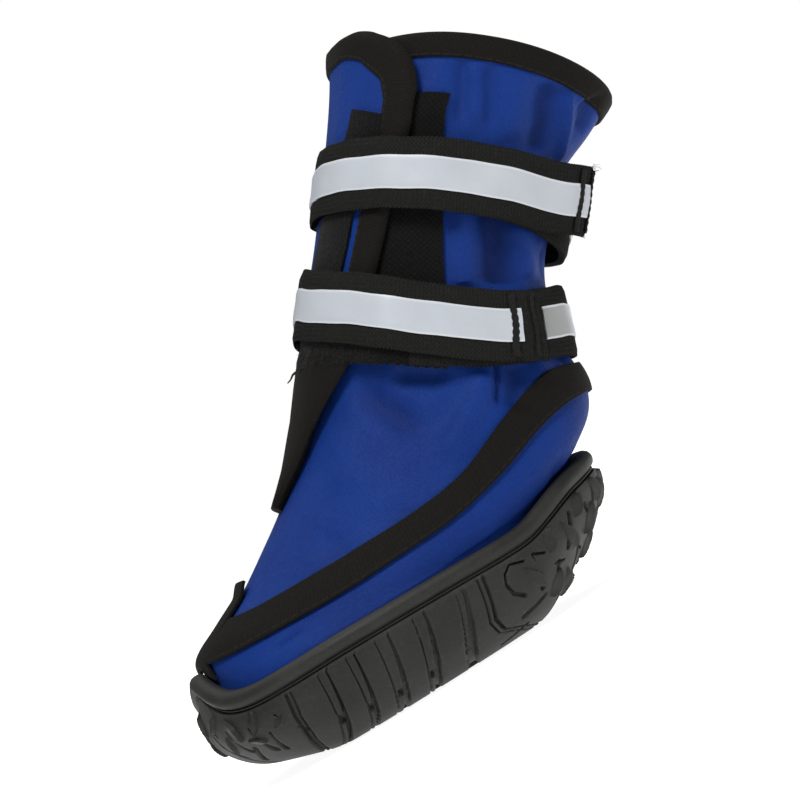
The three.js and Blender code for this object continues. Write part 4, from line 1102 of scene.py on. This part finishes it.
def preparedLugs():
    made = []
    for angle, way, turn, size in [*heelLugs, *toeLugs]:
        for side in (1, -1) if angle not in (0, 180) else (1,):
            at, wayAt = np.array([float(side * angle)]), np.array([way])
            frame = [part[0] for part in treadFrame(at, wayAt)]
            made.append((treadBase(at, wayAt)[0], frame, side * turn, size))
    return made


def preparedDarts():
    made = []
    for a1, w1, a2, w2, low, high in darts:
        for side in (1, -1):
            ends = treadBase(side * np.array([a1, a2], float), np.array([w1, w2]))
            made.append((ends[0], ends[1], low, high))
    return made


lugsReady, dartsReady = preparedLugs(), preparedDarts()


def treadHeight(point, out, way):
    x, y, z = point.T
    across = np.abs(y)
    reach = across + z
    height = np.zeros(len(x))
    toeEdge, heelEdge = lineX(toeLine, reach), lineX(heelLine, reach)
    between = (x < toeEdge - 0.6) & (x > heelEdge + 0.6)
    sweep = readTable(barSweep, reach)
    border = 16.8 * (1 - 4 * (x / 108 - 0.04) ** 2)
    # the lines between the bars: a fine one and a bolder one, with a notch at the bottom's edge
    bar = np.full(len(x), -1)
    inner = []
    for k, (rim, edge) in enumerate(zip(barRims, barEdges)):
        centre = rim + edge * sweep
        inner.append(rim + edge * 0.5)
        bar = np.where(x < centre, k, bar)
        if k in (0, len(barRims) - 1):
            continue
        apart = barGaps[k] * np.interp(reach, [17, 38, 57], [0.6, 0.8, 1])
        wide = np.interp(reach, [17, 34, 42, 57], [0.42, 0.5, 0.36, 0.16])
        deep = np.interp(reach, [17, 38, 57], [0.95, 1.1, 0.6])
        beyond = (reach > border + 0.4) & between
        lines = carve(np.zeros(len(x)), np.abs(x - centre + apart / 2), wide * barBold[k], deep)
        lines = carve(lines, np.abs(x - centre - apart / 2), wide * 0.55, 0.5)
        notch = np.maximum(np.abs(x - centre + 0.2) - 0.5, np.abs(reach - 37.5) - 1.6)
        lines = carve(lines, notch, 0.35, 1.25)
        height = np.where(beyond, np.minimum(height, lines), height)
    # the stepped border of the middle field
    stepped = borderSteps[np.clip(bar + 1, 0, len(borderSteps) - 1)]
    steps = np.abs(across - stepped)
    for k, at in enumerate(inner[1:-1], 1):
        low, high = sorted(borderSteps[k:k + 2])
        steps = np.minimum(steps, np.hypot(x - at, np.maximum(np.maximum(low - across, across - high), 0)))
    height = np.where(between, carve(height, steps, 0.6, 1.25), height)
    # pads and the cuts round them
    field = between & (across < stepped)
    marks = np.zeros(len(x))
    for k, (px, py, length, width) in enumerate(pads):
        dx, dy = (x - px) / length, (y - py) / width
        turn = np.arctan2(dy, dx)
        swell = 1 + 0.14 * np.cos(3 * turn) if k == 0 else 1.0
        ring = (np.hypot(dx, dy) / swell - 1) * min(length, width)
        marks = carve(marks, np.abs(ring - 0.55), 0.5, 1.3)
    for cut in cuts:
        marks = carve(marks, lineDistance(x, across, cut), 0.42, 1.1)
    height = np.where(field, np.minimum(height, marks), height)
    # the heel's and the toe's lines
    for line, gap in ((heelLine, -1.5), (toeLine, 1.0)):
        away = x - lineX(line, reach)
        height = carve(height, np.abs(away), 0.34, 1.1)
        height = carve(height, np.abs(away + gap), 0.22, 0.7)
    toe = x > toeEdge + 0.8
    height = np.where(toe, carve(height, lineDistance(x, reach, toeFlare), 0.28, 0.7), height)
    for a, b, low, high in dartsReady:
        step = b - a
        share = np.clip((point - a) @ step / (step @ step), 0, 1)
        gap = np.linalg.norm(point - a - share[:, None] * step, axis=1)
        height = carve(height, gap, mixed(low, high, share), 1.0)
    # wedges of rubber on the heel and the toe
    raised = np.zeros(len(x))
    for centre, frame, turn, size in lugsReady:
        near = np.nonzero((np.abs(point - centre) < 6).all(1))[0]
        if len(near):
            raised[near] = np.maximum(raised[near], lugShape(point[near], centre, frame, turn, size))
    raised *= (x < heelEdge - 2.4) | toe
    height = np.where(raised > 0.02, np.maximum(height, 0) + raised, height)
    height *= easeIn(1.0, 0.985, way)
    return np.minimum(height, (z - 0.03) / np.maximum(-out[:, 2], 0.15))


def treadAt(p, q):
    angle, way = fromSquare(p, q)
    base = treadBase(angle, way)
    step = 2e-3
    alongP, alongQ = (
        treadBase(*fromSquare(np.minimum(p + dp, 1), np.minimum(q + dq, 1)))
        - treadBase(*fromSquare(np.maximum(p - dp, -1), np.maximum(q - dq, -1)))
        for dp, dq in ((step, 0), (0, step)))
    out = unit(np.cross(alongQ, alongP))
    return base, out, treadHeight(base, out, way)


def refineGrid(piece, least):  # each face over which the tread's height changes by more than that is split
    mesh = piece.data
    spots = readAll(mesh.vertices, "co", 3)[readAll(mesh.loops, "vertex_index", kind=int)]
    first = readAll(mesh.polygons, "loop_start", kind=int)
    low = np.minimum.reduceat(spots, first)[:, :2]
    high = np.maximum.reduceat(spots, first)[:, :2]
    edge = 1.5 / treadPiece["grid"]
    inside = (np.abs(low).max(1) < 1 - edge) & (np.abs(high).max(1) < 1 - edge)
    steps = np.linspace(0, 1, 4)
    s, t = [part.ravel() for part in np.meshgrid(steps, steps)]
    p = low[:, :1] + (high - low)[:, :1] * s
    q = low[:, 1:] + (high - low)[:, 1:] * t
    height = treadAt(p.ravel(), q.ravel())[2].reshape(p.shape)
    chosen = inside & (np.ptp(height, axis=1) > least)
    for group in (mesh.vertices, mesh.edges):
        group.foreach_set("select", np.zeros(len(group), bool))
    mesh.polygons.foreach_set("select", chosen)
    bpy.context.tool_settings.mesh_select_mode = (False, False, True)
    bpy.ops.object.mode_set(mode="EDIT")
    bpy.ops.mesh.subdivide(number_cuts=1, smoothness=0, ngon=False)
    bpy.ops.object.mode_set(mode="OBJECT")
    print("tread refined:", int(chosen.sum()), "faces of", len(chosen))


def addSole():
    bpy.ops.object.select_all(action="DESELECT")
    bpy.ops.mesh.primitive_grid_add(x_subdivisions=treadPiece["grid"], y_subdivisions=treadPiece["grid"], size=2)
    tread = bpy.context.object
    tread.name = tread.data.name = "rubberSole"
    refineGrid(tread, 0.12)
    refineGrid(tread, 0.2)
    mesh = tread.data
    p, q = readAll(mesh.vertices, "co", 3)[:, :2].T
    base, out, height = treadAt(p, q)
    mesh.vertices.foreach_set("co", ((base + out * height[:, None]) * mm).ravel())
    mesh.update()
    inEditMode(bpy.ops.mesh.flip_normals)

    size = soleSize
    stations = len(rimProfile) + len(cupCorner) + 2

    def place(u, v):
        t = (u * 4) % 4
        side, along, one = np.floor(t), t - np.floor(t), np.ones_like(u)
        sides = [side == 0, side == 1, side == 2]
        p = np.select(sides, [one, 1 - 2 * along, -one], -1 + 2 * along)
        q = np.select(sides, [-1 + 2 * along, one, 1 - 2 * along], -one)
        angle = fromSquare(p, q)[0]
        station = np.round(v * (stations - 1)).astype(int)
        onRim = station < len(rimProfile)
        row = rimProfile[np.minimum(station, len(rimProfile) - 1)]
        point = soleOutline(angle, row[:, 0])
        point[:, 2] = mixed(rimFoot(angle), rimTop(angle), row[:, 1])
        point = leaned(point, angle)
        corner = np.array(cupCorner)[np.clip(station - len(rimProfile), 0, len(cupCorner) - 1)] * size["cupRadius"]
        cup = cupPoint(angle, size["rimWidth"] + corner[:, 0], corner[:, 1])
        middle = soleOutline(angle, 0) * np.where(station == stations - 1, 0.02, 0.5)[:, None]
        middle[:, 2] = floorLine(middle[:, 0]) + size["floor"]
        point = np.where(onRim[:, None], point, cup)
        return np.where((station >= stations - 2)[:, None], middle, point)

    rim = shapedGrid("rim", treadPiece["grid"] * 4, stations - 1, place)
    pick(tread, rim)
    bpy.ops.object.join()
    closeUp(4e-6)
    markWorn(tread)
    finishPiece(tread, [mouldedRubber], ["sole"], 55)


def markWorn(piece):  # how far each point stands out from its neighbours, for the pale wear on raised edges
    mesh = piece.data
    spots, normals = readAll(mesh.vertices, "co", 3), readAll(mesh.vertices, "normal", 3)
    a, b = readAll(mesh.edges, "vertices", 2, int).T
    gap = spots[b] - spots[a]
    length = np.maximum(np.linalg.norm(gap, axis=1), 1e-9)
    bend, count = np.zeros(len(spots)), np.zeros(len(spots))
    for here, sign in ((a, 1), (b, -1)):
        np.add.at(bend, here, -sign * (gap * normals[here]).sum(1) / length)
        np.add.at(count, here, 1)
    worn = np.clip(bend / np.maximum(count, 1) * 2.2, 0, 1)
    mesh.attributes.new("worn", "FLOAT", "POINT").data.foreach_set("value", worn.astype(np.float32))


addSole()
print("sole made")


# Insole: a thin pad that rises a little at its edge
def addInsole():
    size = soleSize

    def place(u, v):
        angle = u * 360
        edge = soleOutline(angle, size["rimWidth"] + size["cupRadius"] * 0.7)
        point = edge * mixed(0.01, 1, v)[:, None]
        lift = 1.3 * easeIn(0.8, 1, v) + 0.3 * np.sin(v * math.pi)
        point[:, 2] = floorLine(point[:, 0]) + size["floor"] + clearance * 2 + size["insole"] + lift
        return point

    piece = shapedGrid("insolePad", 120, 30, place)
    closeUp(1e-6)
    thicken(piece, size["insole"] - 0.3)
    finishPiece(piece, [insoleFelt], ["insole"])


addInsole()
print("insole made")


# Loose ends: the fuzzy pad below the lower strap, stitches across the straps' free ends, frays and threads
padPiece = {"start": -36, "end": 88, "thick": 0.9, "hairs": 220, "hairRow": 10.5}
padReach = [(-36, 6.4), (0, 6.2), (30, 4.8), (45, 3.8), (62, 3.2), (88, 2.2)]  # angle, and how far below the strap
stitchPiece = {"count": 9, "wide": 1.8, "thick": 0.3, "off": 0.44, "beat": 0.25}
frayPiece = {"fibres": 26, "long": 1.9, "thin": 0.09}


def addFibres(name, hairs, material):  # each hair is a thin tube along its points
    bpy.ops.curve.primitive_nurbs_path_add()
    piece = bpy.context.object
    piece.name = piece.data.name = name
    piece.data.splines.clear()
    piece.data.bevel_depth = mm
    piece.data.bevel_resolution = 0
    piece.data.use_fill_caps = True
    for points, radius in hairs:
        points = np.asarray(points, float)
        spline = piece.data.splines.new("POLY")
        spline.points.add(len(points) - 1)
        spline.points.foreach_set("co", np.hstack([points * mm, np.ones((len(points), 1))]).ravel())
        spline.points.foreach_set("radius", np.linspace(radius, radius * 0.45, len(points)))
    pick(piece)
    bpy.ops.object.convert(target="MESH")
    finishPiece(bpy.context.object, [material], (), 70)


def addPad():
    strap = strapLines["Lower"]
    half = strapPiece["width"] / 2

    def place(u, v):
        angle = mixed(padPiece["start"], padPiece["end"], u)
        drop = np.interp(angle, *np.transpose(padReach))
        across = mixed(-half - drop, -1.0, v) + 0.25 * np.sin(angle * 1.7) * (1 - v)
        under = easeIn(-half + 1, -half - 3, across)
        fluff = 0.12 * np.sin(u * 410) * np.sin(v * 37)
        return onStrap(strap, angle + 360, across, -0.35 - 0.5 * under + fluff)

    piece = shapedGrid("loopPad", 200, 18, place)
    thicken(piece, padPiece["thick"])
    finishPiece(piece, [loopPile])
    rng = np.random.default_rng(7)
    hairs = []
    for k in range(padPiece["hairs"]):
        u = rng.random() ** 1.5
        v = rng.random() * 0.5 if k % 3 else 0.0
        root = place(np.array([u]), np.array([v]))[0] - np.array([0, 0, 0.3])
        tip = rng.normal(size=3) * 0.55 + np.array([0.35, 0.2, -0.45])
        angle = mixed(padPiece["start"], padPiece["end"], u)
        out = upperDirections(np.array([padPiece["hairRow"]]), np.array([angle]))[2][0]
        bend = rng.normal(size=3) * 0.25
        length = 0.5 + 0.7 * rng.random()
        middle = root + (out * 0.6 + tip * 0.4) * length * 0.5 + bend * 0.3
        hairs.append(([root, middle, root + (out * 0.5 + tip) * length], 0.07))
    addFibres("loopHairs", hairs, loopPile)


def addStrapEnd(name, strap):
    half = strapPiece["width"] / 2
    end = np.array([float(strap["end"])])
    turn = np.linalg.norm(onStrap(strap, end, 0.0, 1.5) - onStrap(strap, end - 1, 0.0, 1.5))
    rng = np.random.default_rng(len(name))
    for line, back in enumerate(strap["stitches"]):
        def place(u, v):
            across = (u - 0.5) * (strapPiece["width"] - 1.6)
            beat = np.abs(np.sin(u * math.pi * stitchPiece["count"]))
            wide = stitchPiece["wide"] * (0.75 + 0.25 * beat) * (1 - 0.4 * line)
            angle = strap["end"] - (back + (v - 0.5) * wide + 0.18 * np.sin(u * 9 + line)) / turn
            height = strapPiece["thick"] + stitchPiece["off"] + stitchPiece["beat"] * beat * np.sin(v * math.pi)
            return onStrap(strap, angle, across, height)

        piece = shapedGrid("strap" + name + "Stitches" + str(line), stitchPiece["count"] * 8, 6, place)
        thicken(piece, stitchPiece["thick"])
        finishPiece(piece, [blackThread], (), 60)
    hairs = []
    for k in range(frayPiece["fibres"]):
        across = rng.uniform(-half, half) if k % 3 else rng.choice([-1, 1]) * half
        high = rng.uniform(0.2, strapPiece["thick"])
        root = onStrap(strap, end - 0.3, across, np.array([high]))[0]
        ahead = unit(root - onStrap(strap, end - 3, across, np.array([high]))[0])
        bend = rng.normal(size=3) * 0.4
        long = frayPiece["long"] * rng.uniform(0.35, 1)
        middle, tip = root + (ahead * 0.5 + bend * 0.25) * long, root + (ahead * 0.9 + bend * 0.8) * long
        hairs.append(([root, middle, tip], frayPiece["thin"] * rng.uniform(0.8, 1.5)))
    addFibres("strap" + name + "Fray", hairs, blackThread)


curls = [  # white threads at the upper strap's corner
    [(0, 0, 0), (-0.5, 0.3, 0.9), (-1.6, 0.5, 1.0), (-2.4, 0.4, 0.4)],
    [(0, 0, 0), (-0.9, 0.1, 0.4), (-1.7, 0.3, -0.3), (-2.1, 0.2, -1.2), (-1.6, 0.2, -1.6)],
    [(0, 0, -0.3), (-0.8, 0.2, 1.3), (-0.3, 0.3, 1.9)],
]
curlSize = 0.62
tail = [(0, 0, 0), (0.9, 0.1, -0.2), (1.9, 0.2, -0.9), (2.9, 0.2, -1.2)]  # a black one below the lower strap


def addThreads():
    strap = strapLines["Upper"]
    corner = onStrap(strap, np.array([float(strap["end"])]), 7.6, np.array([1.6]))
    root = onStrap(strapLines["Lower"], np.array([348.0]), -13.6, np.array([0.2]))
    addFibres("whiteThreads", [(corner + np.array(curl) * curlSize, 0.2) for curl in curls], whiteThread)
    addFibres("blackThread", [(root + np.array(tail), 0.3)], blackThread)


addPad()
for strapName, strapLine in strapLines.items():
    addStrapEnd(strapName, strapLine)
addThreads()
print("loose ends made")
